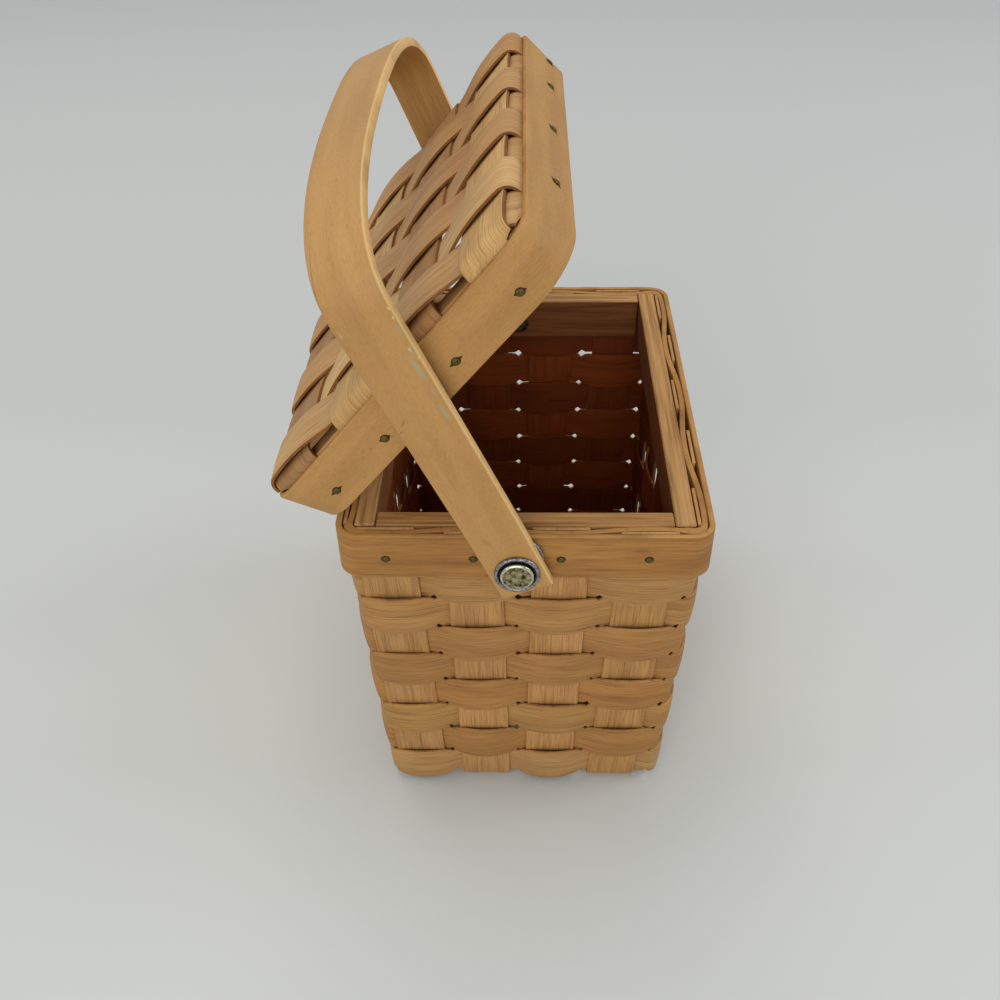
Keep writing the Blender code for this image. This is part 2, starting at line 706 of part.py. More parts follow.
def build_lid(tipped):
    """The lid: its band, the strips inside the band and the woven top."""
    bent, sawn = band_wood(), strip_wood()
    corners = (LID_CORNER_LOW, LID_CORNER_HIGH)
    band("lid_band", LID_LOW, LID_HIGH, corners, LID_MIDDLE_X, bent, tipped)
    inset = BAND_THICK + LID_ZONE
    strips = frame_strips("lid", inset, LID_STRIP_THICK, LID_LOW, LID_HIGH, LID_MIDDLE_X, sawn, tipped)
    inside = core("lid_inside", LID_LOW, LID_HIGH, corners, inset, LID_MIDDLE_X, sawn, tipped)
    for name in ("left", "right"):
        combine(strips[name], inside, "INTERSECT")
    woven_top(lid_wood(), tipped)


BASKET, CUTTERS = start_scene()
ROOT = anchor("basket_body", (0, 0, 0))
RIVET_AXIS = anchor("rivet_axis", (PIVOT_X, 0, PIVOT_Z))
HINGE_SEAT = anchor("hinge_seat", (HINGE_X, 0, HINGE_Z))
LID_AXIS = anchor("lid_axis", (HINGE_X, 0, HINGE_Z), -LID_TILT)
HANDLE_AXIS = anchor("handle_axis", (PIVOT_X, 0, PIVOT_Z), -HANDLE_LEAN)

RIVET_BORE = build_body(ROOT, RIVET_AXIS)
build_lid(LID_AXIS)
handle(RIVET_BORE, handle_wood(), HANDLE_AXIS)
HINGE_METAL = hinge_metal()
for number, share in enumerate(HINGE_PLACE_SHARES):
    hinge(f"hinge_{number + 1}", share * RIM_DEPTH, HINGE_METAL, HINGE_SEAT, LID_AXIS)
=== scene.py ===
# %% [markdown]
# # A small lidded basket of woven wood splints
#
# The real basket is woven from thin strips of pale wood, which a basket maker calls splints. Upright stakes cross
# under the base and go up the walls, and weavers run round them, outside one stake and inside the next. A bent band
# and sawn strips clamp the top of the wall, a second band frames the woven lid, and one flat strip of bent wood is
# the handle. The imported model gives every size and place, so the first step is to load it.

import json
import math

import bpy
import numpy as np
from mathutils import Matrix, Vector


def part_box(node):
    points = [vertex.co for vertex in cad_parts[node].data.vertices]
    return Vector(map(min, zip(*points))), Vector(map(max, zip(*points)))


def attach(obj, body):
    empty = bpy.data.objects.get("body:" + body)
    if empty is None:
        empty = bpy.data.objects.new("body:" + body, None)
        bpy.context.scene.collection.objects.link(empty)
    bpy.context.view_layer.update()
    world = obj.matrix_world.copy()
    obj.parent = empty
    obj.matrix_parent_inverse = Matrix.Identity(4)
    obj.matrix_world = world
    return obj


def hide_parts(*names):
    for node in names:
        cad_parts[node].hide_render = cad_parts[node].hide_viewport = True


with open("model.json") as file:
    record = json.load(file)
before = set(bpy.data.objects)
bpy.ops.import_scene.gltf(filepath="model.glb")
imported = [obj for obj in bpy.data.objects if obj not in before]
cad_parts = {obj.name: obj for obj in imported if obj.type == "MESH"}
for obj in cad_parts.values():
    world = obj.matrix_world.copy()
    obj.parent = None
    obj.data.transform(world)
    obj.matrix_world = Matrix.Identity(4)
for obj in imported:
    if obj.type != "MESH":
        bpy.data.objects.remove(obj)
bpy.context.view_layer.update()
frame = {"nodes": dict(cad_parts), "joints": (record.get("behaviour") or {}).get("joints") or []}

# %% [markdown]
# ## Camera
#
# The photograph was taken from above the front short side, looking down about 40 degrees. The place and the angles
# were found by matching the rim's and the base's corners. A focal length of 1058 pixels on a picture 1000 pixels
# wide is a 38 mm lens on a 36 mm sensor.

# %% Camera at the photograph's place
MM = 0.001
SENSOR = 36
FOCAL_PIXELS = 1058
PICTURE = 1000
CAMERA_PLACE = Vector((-0.00097, -0.33704, 0.37014))
CAMERA_TURN = math.radians(-1.55)
CAMERA_DOWN = math.radians(40.0)
CAMERA_ROLL = math.radians(-0.86)

camera = bpy.data.objects.new("camera", bpy.data.cameras.new("camera"))
bpy.context.scene.collection.objects.link(camera)
camera.data.sensor_width = SENSOR
camera.data.lens = SENSOR * FOCAL_PIXELS / PICTURE
camera.data.clip_start = 0.01
ahead = Vector((
    math.sin(CAMERA_TURN) * math.cos(CAMERA_DOWN),
    math.cos(CAMERA_TURN) * math.cos(CAMERA_DOWN),
    -math.sin(CAMERA_DOWN),
))
right = Vector((math.cos(CAMERA_TURN), -math.sin(CAMERA_TURN), 0))
up = right.cross(ahead)
facing = Matrix((right, up, -ahead)).transposed() @ Matrix.Rotation(CAMERA_ROLL, 3, "Z")
camera.matrix_world = Matrix.Translation(CAMERA_PLACE) @ facing.to_4x4()
bpy.context.scene.camera = camera
bpy.context.scene.view_settings.view_transform = "Standard"
print("lens", round(camera.data.lens, 1), "mm")

# %% [markdown]
# ## Nodes and colours
#
# Every finish here is built from nodes. One helper adds a node with its settings, its values and its links, so a
# finish reads as a list of steps. Colours are picked as hex values on the screen, and Blender computes with linear
# light, so one function converts them.

# %% A helper for nodes and one for colours
def linear(code):
    """An sRGB hex colour as linear red, green, blue and alpha."""
    shares = [int(code[i:i + 2], 16) / 255 for i in (1, 3, 5)]
    return *(s / 12.92 if s <= 0.04045 else ((s + 0.055) / 1.055) ** 2.4 for s in shares), 1


def add(tree, kind, values=None, links=None, stops=None, **settings):
    """One node, with its settings, the values on its sockets, the links into them and any colour stops.

    A stop that is a number darkens to that share, and a little more in green and blue, as the lines in wood do.
    """
    made = tree.nodes.new(kind)
    for name, value in settings.items():
        setattr(made, name, value)
    for socket, value in (values or {}).items():
        made.inputs[socket].default_value = value
    for socket, source in (links or {}).items():
        tree.links.new(source, made.inputs[socket])
    if stops:
        ramp = made.color_ramp.elements
        while len(ramp) < len(stops):
            ramp.new(1)
        for element, (place, code) in zip(ramp, stops):
            element.position = place
            element.color = linear(code) if isinstance(code, str) else (code, code ** 1.2, code ** 1.5, 1)
    return made


def new_material(name):
    """An empty material and its node tree."""
    made = bpy.data.materials.new(name)
    made.use_nodes = True
    made.node_tree.nodes.clear()
    return made, made.node_tree


def surface(tree, shader):
    """Ends a material with its surface shader."""
    add(tree, "ShaderNodeOutputMaterial", links={"Surface": shader})


print("linear middle grey", [round(v, 3) for v in linear("#808080")])

# %% [markdown]
# ## Floor and light
#
# The basket stands on a plain pale sheet, lit softly from above with a little light from the front. The shadows on
# both sides of the base are wide and faint, so the lamps are large and the world itself gives most of the light.

# %% Floor
FLOOR_SIZE = 12.0
# The sheet's tones from front to back are painted light and shade: palest near the basket's front and greyest a little
# behind it.
FLOOR_LIGHT_AND_SHADE = ((0.0, "#C4C7C5"), (0.18, "#C8CAC7"), (0.33, "#BCBEBD"), (0.8, "#C1C3C3"), (1.0, "#C1C3C3"))
FLOOR_EDGE = "#E8EAEA"

for thing in bpy.context.selected_objects:
    thing.select_set(False)
bpy.ops.mesh.primitive_plane_add(size=FLOOR_SIZE, location=(0, 0, -0.0002))
floor = bpy.context.object
floor.name = "pale_floor"
bpy.ops.object.transform_apply(location=True, rotation=True, scale=True)
paper, tree = new_material("matt white paper")
place = add(tree, "ShaderNodeTexCoord").outputs["Object"]
apart = add(tree, "ShaderNodeSeparateXYZ", links={"Vector": place})
share = add(
    tree, "ShaderNodeMapRange", {"From Min": -0.3, "From Max": 1.2}, {"Value": apart.outputs["Y"]}
)
tone = add(tree, "ShaderNodeValToRGB", links={"Fac": share.outputs["Result"]}, stops=FLOOR_LIGHT_AND_SHADE)
# Far from the basket the sheet grows as pale as the room, so that no horizon shows.
away = add(tree, "ShaderNodeVectorMath", links={0: place}, operation="LENGTH")
fade = add(tree, "ShaderNodeMapRange", {"From Min": 1.8, "From Max": 4.0}, {"Value": away.outputs["Value"]})
pale = add(
    tree, "ShaderNodeMix", {7: linear(FLOOR_EDGE)}, {0: fade.outputs["Result"], 6: tone.outputs[0]},
    data_type="RGBA",
)
shader = add(
    tree, "ShaderNodeBsdfPrincipled", {"Roughness": 0.8, "Specular IOR Level": 0.2}, {"Base Color": pale.outputs[2]}
)
surface(tree, shader.outputs[0])
floor.data.materials.append(paper)
print("floor", FLOOR_SIZE, "m")

# %% World and lamps
WORLD_LIGHT = 0.58
world = bpy.data.worlds.new("soft room")
world.use_nodes = True
world.node_tree.nodes["Background"].inputs["Color"].default_value = linear("#E8EAEA")
world.node_tree.nodes["Background"].inputs["Strength"].default_value = WORLD_LIGHT
bpy.context.scene.world = world


def lamp(name, place, target, size, power, code):
    """A square soft lamp that points at a place."""
    light = bpy.data.lights.new(name, "AREA")
    light.size = size
    light.energy = power
    light.color = linear(code)[:3]
    made = bpy.data.objects.new(name, light)
    made.location = place
    made.rotation_euler = (Vector(target) - Vector(place)).to_track_quat("-Z", "Y").to_euler()
    bpy.context.scene.collection.objects.link(made)
    return made


lamp("ceiling_light", (-0.25, 0.5, 1.6), (0, 0, 0.1), 1.0, 8, "#FFFBF4")
lamp("room_light", (-0.3, -1.9, 1.0), (0, 0, 0.1), 1.6, 21, "#FFFDF8")
lamp("left_window", (-1.5, 0.1, 0.9), (0, 0, 0.05), 0.8, 5, "#FAFCFF")
lamp("right_window", (1.5, 0.2, 0.9), (0, 0, 0.05), 0.8, 9, "#FAFCFF")
print("4 lamps and a world of", WORLD_LIGHT)

# %% [markdown]
# ## Wood
#
# All the wood is bare poplar or a like pale wood: honey coloured, with a fine straight grain along each strip. The
# pattern reads a strip's own UV map, which is in metres: U runs along the grain and V across it. U also starts at a
# different multiple of ten metres on each strip. The whole number of tens picks the strip's own tint from a list,
# so neighbours differ, as splints split from different logs do.

# %% Grain that follows each strip
STRIP_APART = 10.0


def oval(tree, vector, centre, size, soft=0.4, turn=0.0):
    """How much an oval mark covers a point: 1 in its middle and 0 outside it."""
    moved = add(
        tree, "ShaderNodeMapping", {"Location": centre, "Scale": size, "Rotation": (0, 0, turn)},
        {"Vector": vector}, vector_type="TEXTURE",
    )
    far = add(tree, "ShaderNodeVectorMath", links={0: moved.outputs[0]}, operation="LENGTH")
    cover = add(
        tree, "ShaderNodeMapRange", {"From Min": 1.0, "From Max": soft}, {"Value": far.outputs["Value"]}
    )
    return cover.outputs["Result"]


def tinted(tree, colour, cover, code, most=1.0, blend="MIX"):
    """A colour with another laid over it where cover is above 0, up to a share of most."""
    share = add(tree, "ShaderNodeMath", {1: most}, {0: cover}, operation="MULTIPLY")
    mixed = add(
        tree, "ShaderNodeMix", {7: linear(code)}, {0: share.outputs[0], 6: colour}, data_type="RGBA",
        blend_type=blend,
    )
    return mixed.outputs[2]


def wood(
    name, tones, coarse_mm=1.5, fibre_mm=0.34, streak=0.5, cloud=0.16, fine_dark=0.66, rough=(0.52, 0.7), marks_and_highlight=None,
    fibre_long=16.0
):
    """Bare pale wood. tones are the strips' tints, coarse_mm and fibre_mm the widths of its broad and fine grain."""
    made, tree = new_material(name)
    uv = add(tree, "ShaderNodeUVMap", uv_map="UVMap").outputs["UV"]
    apart = add(tree, "ShaderNodeSeparateXYZ", links={"Vector": uv})
    tens = add(
        tree, "ShaderNodeMath", {1: STRIP_APART}, {0: apart.outputs["X"]}, operation="DIVIDE"
    )
    number = add(tree, "ShaderNodeMath", links={0: tens.outputs[0]}, operation="ROUND")
    turn = add(tree, "ShaderNodeMath", {1: len(tones)}, {0: number.outputs[0]}, operation="MODULO")
    pick = add(tree, "ShaderNodeMath", {1: len(tones) - 1}, {0: turn.outputs[0]}, operation="DIVIDE")
    spaced = [(i / (len(tones) - 1), code) for i, code in enumerate(tones)]
    tint = add(tree, "ShaderNodeValToRGB", links={"Fac": pick.outputs[0]}, stops=spaced)
    # Broad grain: streaks a few millimetres wide that run the length of the strip.
    broad_place = add(
        tree, "ShaderNodeMapping", {"Scale": (1 / (55 * MM), 1 / (coarse_mm * MM), 1)}, {"Vector": uv}
    )
    broad = add(
        tree, "ShaderNodeTexNoise", {"Scale": 1.0, "Detail": 5.0, "Roughness": 0.6, "Distortion": 0.1},
        {"Vector": broad_place.outputs[0]},
    )
    broad_tone = add(
        tree, "ShaderNodeValToRGB", links={"Fac": broad.outputs["Fac"]},
        stops=[(0.32, 1 - 0.5 * streak), (0.46, 1 - 0.12 * streak), (0.62, 1.0)],
    )
    # Fine fibre: hair lines that catch the light.
    fine_place = add(
        tree, "ShaderNodeMapping", {"Scale": (1 / (fibre_long * MM), 1 / (fibre_mm * MM), 1)}, {"Vector": uv}
    )
    fine = add(
        tree, "ShaderNodeTexNoise", {"Scale": 1.0, "Detail": 5.0, "Roughness": 0.65},
        {"Vector": fine_place.outputs[0]},
    )
    fine_tone = add(
        tree, "ShaderNodeValToRGB", links={"Fac": fine.outputs["Fac"]}, stops=[(0.36, fine_dark), (0.5, 0.96), (0.62, 1.0)]
    )
    # Pores: short dark dashes.
    pore_place = add(
        tree, "ShaderNodeMapping", {"Scale": (1 / (2.4 * MM), 1 / (0.22 * MM), 1)}, {"Vector": uv}
    )
    pore = add(
        tree, "ShaderNodeTexNoise", {"Scale": 1.0, "Detail": 1.0, "Roughness": 0.5},
        {"Vector": pore_place.outputs[0]},
    )
    pore_tone = add(
        tree, "ShaderNodeValToRGB", links={"Fac": pore.outputs["Fac"]}, stops=[(0.26, 0.72), (0.36, 1.0)]
    )
    # Clouds: wide darker patches, where the log's own colour changes.
    cloud_place = add(
        tree, "ShaderNodeMapping", {"Scale": (1 / (48 * MM), 1 / (7 * MM), 1)}, {"Vector": uv}
    )
    clouds = add(
        tree, "ShaderNodeTexNoise", {"Scale": 1.0, "Detail": 2.0, "Roughness": 0.5},
        {"Vector": cloud_place.outputs[0]},
    )
    cloud_tone = add(
        tree, "ShaderNodeValToRGB", links={"Fac": clouds.outputs["Fac"]}, stops=[(0.36, 1 - cloud), (0.6, 1.0)]
    )
    colour = tint.outputs[0]
    for tone, fac in ((cloud_tone, 1.0), (broad_tone, 1.0), (fine_tone, 0.9), (pore_tone, 0.55)):
        mixed = add(
            tree, "ShaderNodeMix", {0: fac}, {6: colour, 7: tone.outputs[0]}, data_type="RGBA",
            blend_type="MULTIPLY",
        )
        colour = mixed.outputs[2]
    # The last hook lays on a strip's own marks, and on the handle a painted highlight too.
    if marks_and_highlight:
        colour = marks_and_highlight(tree, uv, colour)
    shine = add(
        tree, "ShaderNodeMapRange", {"To Min": rough[0], "To Max": rough[1]}, {"Value": broad.outputs["Fac"]}
    )
    relief = add(
        tree, "ShaderNodeMath", {1: 0.6}, {0: fine.outputs["Fac"], 2: broad.outputs["Fac"]},
        operation="MULTIPLY_ADD",
    )
    bump = add(
        tree, "ShaderNodeBump", {"Strength": 0.45, "Distance": 0.12 * MM}, {"Height": relief.outputs[0]}
    )
    shader = add(
        tree, "ShaderNodeBsdfPrincipled", {"Specular IOR Level": 0.35},
        {"Base Color": colour, "Roughness": shine.outputs[0], "Normal": bump.outputs[0]},
    )
    surface(tree, shader.outputs[0])
    return made


def rim_knot(tree, uv, colour):
    """A small brown knot in the rim's band, above its right nail."""
    place = add(tree, "ShaderNodeTexCoord").outputs["Object"]
    around = oval(tree, place, (38.5 * MM, -83 * MM, 135.0 * MM), (7 * MM, 6 * MM, 2.6 * MM), 0.1)
    middle = oval(tree, place, (38.0 * MM, -83 * MM, 135.2 * MM), (3.2 * MM, 6 * MM, 1.2 * MM), 0.2)
    return tinted(tree, tinted(tree, colour, around, "#8A5526", 0.42), middle, "#7E4A20", 0.5)


HANDLE_STRIP = 70
PAINT, CREAM, CRACK = "#979D84", "#D6C797", "#6E4A22"
MARKS = (
    (93.0, -6.5, 5.2, 1.1, 0.1, PAINT, 0.6), (99.0, -7.6, 2.6, 0.7, 0.0, PAINT, 0.5),
    (76.5, -6.7, 3.8, 1.0, 0.1, PAINT, 0.6), (84.0, -7.0, 3.4, 0.6, 0.0, PAINT, 0.3),
    (106.0, -7.6, 3.4, 0.6, 0.0, PAINT, 0.4), (113.5, -8.2, 0.9, 0.4, 0.3, CREAM, 0.6),
    (110.5, -8.0, 0.8, 0.35, -0.3, CREAM, 0.6), (99.6, -7.4, 0.9, 0.4, 0.2, CREAM, 0.6),
    (96.2, -8.4, 0.6, 0.3, 0.0, CREAM, 0.5), (111.0, 7.6, 1.5, 0.3, 0.0, CREAM, 0.4),
    (77.8, 5.9, 2.6, 0.22, 2.3, CRACK, 0.7), (74.8, 8.2, 1.6, 0.22, 2.0, CRACK, 0.7),
    (44.0, 6.5, 7.0, 0.2, 0.05, CRACK, 0.3), (50.0, 3.0, 9.0, 0.2, 0.03, CRACK, 0.25),
    (24.0, 3.5, 3.0, 1.2, 0.4, CRACK, 0.22), (128.0, 8.0, 16.0, 0.22, -0.1, CRACK, 0.45),
)


def handle_marks_and_highlight(tree, uv, colour):
    """The handle's near leg has paint rubbed on its right edge, small pale chips and hair cracks, and the whole handle
    has a painted highlight along its right edge.
    """
    apart = add(tree, "ShaderNodeSeparateXYZ", links={"Vector": uv})
    # A painted highlight along the handle's right edge.
    rim = add(
        tree, "ShaderNodeMapRange", {"From Min": -8.3 * MM, "From Max": -8.8 * MM}, {"Value": apart.outputs["Y"]}
    )
    colour = tinted(tree, colour, rim.outputs["Result"], "#E3BE84", 0.6)
    for run, across, half_long, half_wide, turn, code, most in MARKS:
        centre = (HANDLE_STRIP * STRIP_APART + (run + 1.2) * MM, across * MM, 0)
        cover = oval(tree, uv, centre, (half_long * MM, half_wide * MM, 1), 0.35, turn)
        colour = tinted(tree, colour, cover, code, most)
    return colour


STAKE_TONES = ("#B88A55", "#BE8E56", "#C08F57", "#BA8B51", "#BC8C56", "#C09058", "#B98A53", "#BE8E54", "#BB8A55")
# The first and third long splints are darker: partly their own wood, partly painted shade for their tails in the shadow
# of the cross splints.
LONG_TONES = ("#A67C4E", "#C59D62", "#AE804C", "#D1A86D")
CROSS_TONES = ("#C79D67", "#D3AC74", "#C3955F", "#BF935E", "#BD8E5A", "#BF935D", "#BF925D", "#BD8D57")
WEAVER_TONES = ("#B88D58", "#B48850", "#B6874D", "#B07F46", "#AE7E46", "#B07D41", "#B3864A", "#AD7C42")
stake_wood = wood("split poplar stake", STAKE_TONES, 1.1, 0.5, fine_dark=0.6)
lid_wood = wood("split poplar splint", LONG_TONES + CROSS_TONES, 1.1, 0.5, fine_dark=0.6)
weaver_wood = wood("split poplar weaver", WEAVER_TONES, 0.9, 0.5, 0.55, fine_dark=0.6)
# The split edges are paler than the faces: partly the wood's own pale fibre, partly a painted highlight.
splint_edge_highlight = wood("split edge of a splint, partly painted highlight", ("#BE9058", "#C69A64"), 1.0, 0.3)
# The lid splints' split edges are painted shade, as they face down out of the light.
shaded_lid_edge = wood("split edge of a lid splint, painted shade", ("#94642E", "#8C5C2A"), 1.0, 0.3)
# The inner faces of the splints are painted shade: the dark inside of the basket and the underside of the lid.
shaded_inner_wood = wood("inner face of a splint, painted shade", ("#99480D", "#853C0A"), streak=0.7, rough=(0.7, 0.85))
rim_wood = wood("steam-bent rim band", ("#AF7D3F", "#AF7D3F"), 1.8, 0.4, 0.75, 0.26, marks_and_highlight=rim_knot)
band_wood = wood(
    "steam-bent poplar band, sanded", ("#B88B50", "#B88B50"), 3.0, 0.32, 0.12, 0.14, 0.8, fibre_long=2.4
)
band_edge = wood("sanded edge of a band", ("#C08F4E", "#B98748"), 1.0, 0.3)
handle_wood = wood(
    "steam-bent handle, sanded", ("#BC8F54", "#BC8F54"), 3.0, 0.28, 0.1, 0.12, 0.82, (0.42, 0.58), handle_marks_and_highlight, 2.4
)
# The handle's side faces are a painted highlight, paler than its sanded face.
handle_edge_highlight = wood("sanded edge of the handle, painted highlight", ("#E3BC7C", "#E3BC7C"), 1.0, 0.3, 0.3, rough=(0.42, 0.58))
# The handle's inner face is a little darker: painted shade.
handle_inner_shade = wood("inner face of the handle, painted shade", ("#B58649", "#B58649"), 2.2, 0.3, 0.2, rough=(0.5, 0.65))
print("12 woods")

# %% [markdown]
# ## A strip of wood
#
# Splints, bands and the handle are the same thing: a flat strip that follows a line. By hand it is a grid of the
# strip's real length, bent onto its line, given its thickness with Solidify, and its corners broken with Bevel. The
# bending is done by moving the grid's points in code, because a woven line turns in every direction. The UV map is
# written at the same time, in metres along and across the strip, so the grain bends with the wood.

# %% The strip helper
SPLINT_THICK = 1.1 * MM
EDGE_BREAK = 0.18 * MM


def deselect():
    """Clears the selection, so the next operator acts on one piece."""
    if bpy.context.object and bpy.context.object.mode != "OBJECT":
        bpy.ops.object.mode_set(mode="OBJECT")
    bpy.ops.object.select_all(action="DESELECT")


def apply_modifier(piece, kind, **settings):
    """Adds a modifier with its settings and applies it."""
    change = piece.modifiers.new(kind.lower(), kind)
    for name, value in settings.items():
        setattr(change, name, value)
    bpy.ops.object.modifier_apply(modifier=change.name)


def settle(piece, body, slot, *nodes):
    """Says which body a finished piece rides on and which solids it stands for. slot is not used."""
    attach(piece, body)
    if nodes:
        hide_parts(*nodes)
    return piece


def bend_strip(
    name, number, centres, across, widths, thick, woods, rows=4, cup=0.0, closed=False, ease=EDGE_BREAK, stout=None,
    thin=1.0
):
    """A flat strip laid along a line. across points over the strip, and its normal side is tangent x across.

    Where stout is given, it goes from 0, where the strip's thickness is only a share of thin, to 1.
    """
    centres, across, widths = (np.array(values, float) for values in (centres, across, widths))
    across /= np.linalg.norm(across, axis=1)[:, None]
    count = len(centres)
    deselect()
    bpy.ops.mesh.primitive_grid_add(x_subdivisions=count - 1, y_subdivisions=rows, size=1)
    piece = bpy.context.object
    piece.name = name
    mesh = piece.data
    flat = np.empty(len(mesh.vertices) * 3)
    mesh.vertices.foreach_get("co", flat)
    flat = flat.reshape(-1, 3)
    along = np.rint((flat[:, 0] + 0.5) * (count - 1)).astype(int)
    side = 2 * flat[:, 1]
    steps = np.linalg.norm(np.diff(centres, axis=0), axis=1)
    run = np.concatenate(([0], np.cumsum(steps)))
    tangent = np.gradient(centres, axis=0)
    if closed:
        tangent[0] = tangent[-1] = centres[1] - centres[-2]
    normal = np.cross(tangent, across)
    normal /= np.linalg.norm(normal, axis=1)[:, None]
    offset = side * widths[along] / 2
    placed = centres[along] + across[along] * offset[:, None] + normal[along] * (cup * (1 - side ** 2))[:, None]
    mesh.vertices.foreach_set("co", placed.ravel())
    corner = np.empty(len(mesh.loops), int)
    mesh.loops.foreach_get("vertex_index", corner)
    uv = np.stack((run[along] + STRIP_APART * number, offset), axis=1)[corner]
    mesh.uv_layers["UVMap"].data.foreach_set("uv", uv.ravel())
    mesh.update()
    if closed:
        bpy.ops.object.mode_set(mode="EDIT")
        bpy.ops.mesh.select_all(action="SELECT")
        bpy.ops.mesh.remove_doubles(threshold=0.00001)
        bpy.ops.object.mode_set(mode="OBJECT")
    for finish in woods:
        mesh.materials.append(finish)
    # The third finish, where there is one, goes on the strip's inner side, and it is painted shade.
    inside = 2 if len(woods) > 2 else 0
    change = {}
    if stout is not None:
        group = piece.vertex_groups.new(name="stout")
        index = np.empty(len(mesh.vertices) * 3)
        mesh.vertices.foreach_get("co", index)
        for number, co in enumerate(index.reshape(-1, 3)):
            step = int(np.argmin(((centres - co) ** 2).sum(axis=1)))
            group.add([number], float(stout[step]), "REPLACE")
        change = {"vertex_group": "stout", "thickness_vertex_group": thin}
    apply_modifier(
        piece, "SOLIDIFY", thickness=thick, offset=0, use_even_offset=True, material_offset=inside,
        material_offset_rim=1, **change,
    )
    apply_modifier(piece, "BEVEL", width=ease, segments=2, limit_method="ANGLE", angle_limit=math.radians(50))
    bpy.ops.object.shade_smooth_by_angle(angle=math.radians(50))
    return piece


def wander(seed, count, size, smooth):
    """A gentle random wave of that many values, for the unevenness of split wood."""
    rough = np.random.RandomState(seed).normal(size=count // smooth + 3)
    return size * np.interp(np.arange(count) / smooth, np.arange(len(rough)), rough)


print("strips start", STRIP_APART, "m apart in U")

# %% [markdown]
# ## The walls
#
# The stakes stand at even distances along each wall, and the walls lean in a little below the rim. Everything in
# the walls is placed by two numbers: how far round the ring of 18 stakes it is, and its height.

# %% Where the walls and stakes are
rim_low, rim_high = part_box("rim_band")
RIM_HALF_WIDE, RIM_HALF_DEEP = rim_high.x, rim_high.y
RIM_BOTTOM, RIM_TOP = rim_low.z, rim_high.z
BAND_THICK = 2.0 * MM
WEAVE_ROOM = 4.2 * MM
WALL_LEAN = 5.5 * MM
WALL_CORNER = 3.0 * MM
STAKE_WIDE = 19.0 * MM
STAKES_ACROSS, STAKES_ALONG = 4, 5
SIDE_SHIFT = 2.5 * MM
ROWS = 8
RING_STAKES = 2 * (STAKES_ACROSS + STAKES_ALONG)


def half_across(z):
    """Half the distance between the left and right walls at a height."""
    return RIM_HALF_WIDE - BAND_THICK - WEAVE_ROOM / 2 - WALL_LEAN * max(1 - z / RIM_BOTTOM, 0)


def half_along(z):
    """Half the distance between the front and back walls at a height."""
    return half_across(z) + RIM_HALF_DEEP - RIM_HALF_WIDE


def across_place(index, z):
    """Where a front stake's middle stands, left to right."""
    room = half_across(z) - WALL_CORNER - STAKE_WIDE / 2 - SIDE_SHIFT
    return room * (2 * index / (STAKES_ACROSS - 1) - 1) - SIDE_SHIFT


def along_place(index, z):
    """Where a side stake's middle stands, front to back."""
    room = half_along(z) - WALL_CORNER - STAKE_WIDE / 2
    return room * (2 * index / (STAKES_ALONG - 1) - 1)


def stake_runs(z):
    """The distance round the wall to each of the ring's stakes, and all round."""
    wide, deep = half_across(z) - WALL_CORNER, half_along(z) - WALL_CORNER
    arc = WALL_CORNER * math.pi / 2
    places = [wide + across_place(i, z) for i in range(STAKES_ACROSS)]
    start = 2 * wide + arc
    places += [start + deep + along_place(i, z) for i in range(STAKES_ALONG)]
    start += 2 * deep + arc
    places += [start + wide - across_place(i, z) for i in reversed(range(STAKES_ACROSS))]
    start += 2 * wide + arc
    places += [start + deep - along_place(i, z) for i in reversed(range(STAKES_ALONG))]
    return places, start + 2 * deep + arc


def on_wall(spot, z, offset):
    """The point at a spot on the ring of stakes, such as 2.5 for midway between stakes 2 and 3."""
    places, total = stake_runs(z)
    places.append(places[0] + total)
    index = int(spot) % RING_STAKES
    run = (places[index] + (spot - int(spot)) * (places[index + 1] - places[index])) % total
    wide, deep = half_across(z) - WALL_CORNER, half_along(z) - WALL_CORNER
    arc = WALL_CORNER * math.pi / 2
    for quarter in range(4):
        length = 2 * (deep if quarter % 2 else wide)
        if run <= length + arc:
            break
        run -= length + arc
    bend = max(run - length, 0) / WALL_CORNER
    reach = WALL_CORNER + offset
    x = min(run, length) - length / 2 + reach * math.sin(bend)
    y = -(wide if quarter % 2 else deep) - reach * math.cos(bend)
    turn = quarter * math.pi / 2
    return x * math.cos(turn) - y * math.sin(turn), x * math.sin(turn) + y * math.cos(turn), z


print("wall ring", round(stake_runs(RIM_BOTTOM)[1] / MM), "mm round")

# %% [markdown]
# ## Weavers
#
# A weaver arches out over one stake and dives behind the next. Where two rows swap sides they pinch together and
# leave the small square hole that lets light into the basket. The arch stands about 3 mm proud, and the strip is
# widest there and a little narrower where it dives.

# %% Weavers round the walls
ARCH_OUT = 2.6 * MM
ARCH_IN = 1.9 * MM
WEAVER_WIDE = 17.3 * MM
WEAVER_PINCH = 12.4 * MM
SIDE_PINCH = 14.8 * MM
SIDE_TIGHT = 0.25
PINCH_SHARP = 0.34
ARCH_FLAT = 1.15
SPOT_STEPS = 18


INSIDE_BY = 1.0 * MM
BACK_STAKE = 2 * STAKES_ACROSS + STAKES_ALONG - 3


def arch(share):
    """How far out a woven strip stands, from 1 on the stake's middle to 0 midway to the next."""
    return max(math.cos(math.pi / 2 * min(share, 1) ** ARCH_FLAT), 0)


def woven_offset(spot, row, out, inward):
    """How far outside the wall's middle a weaver's line is at a spot, and how much of an arch that is."""
    index = round(spot)
    share = arch(abs(spot - index) * 2)
    return share * (out if (index + row) % 2 == 0 else -inward), share


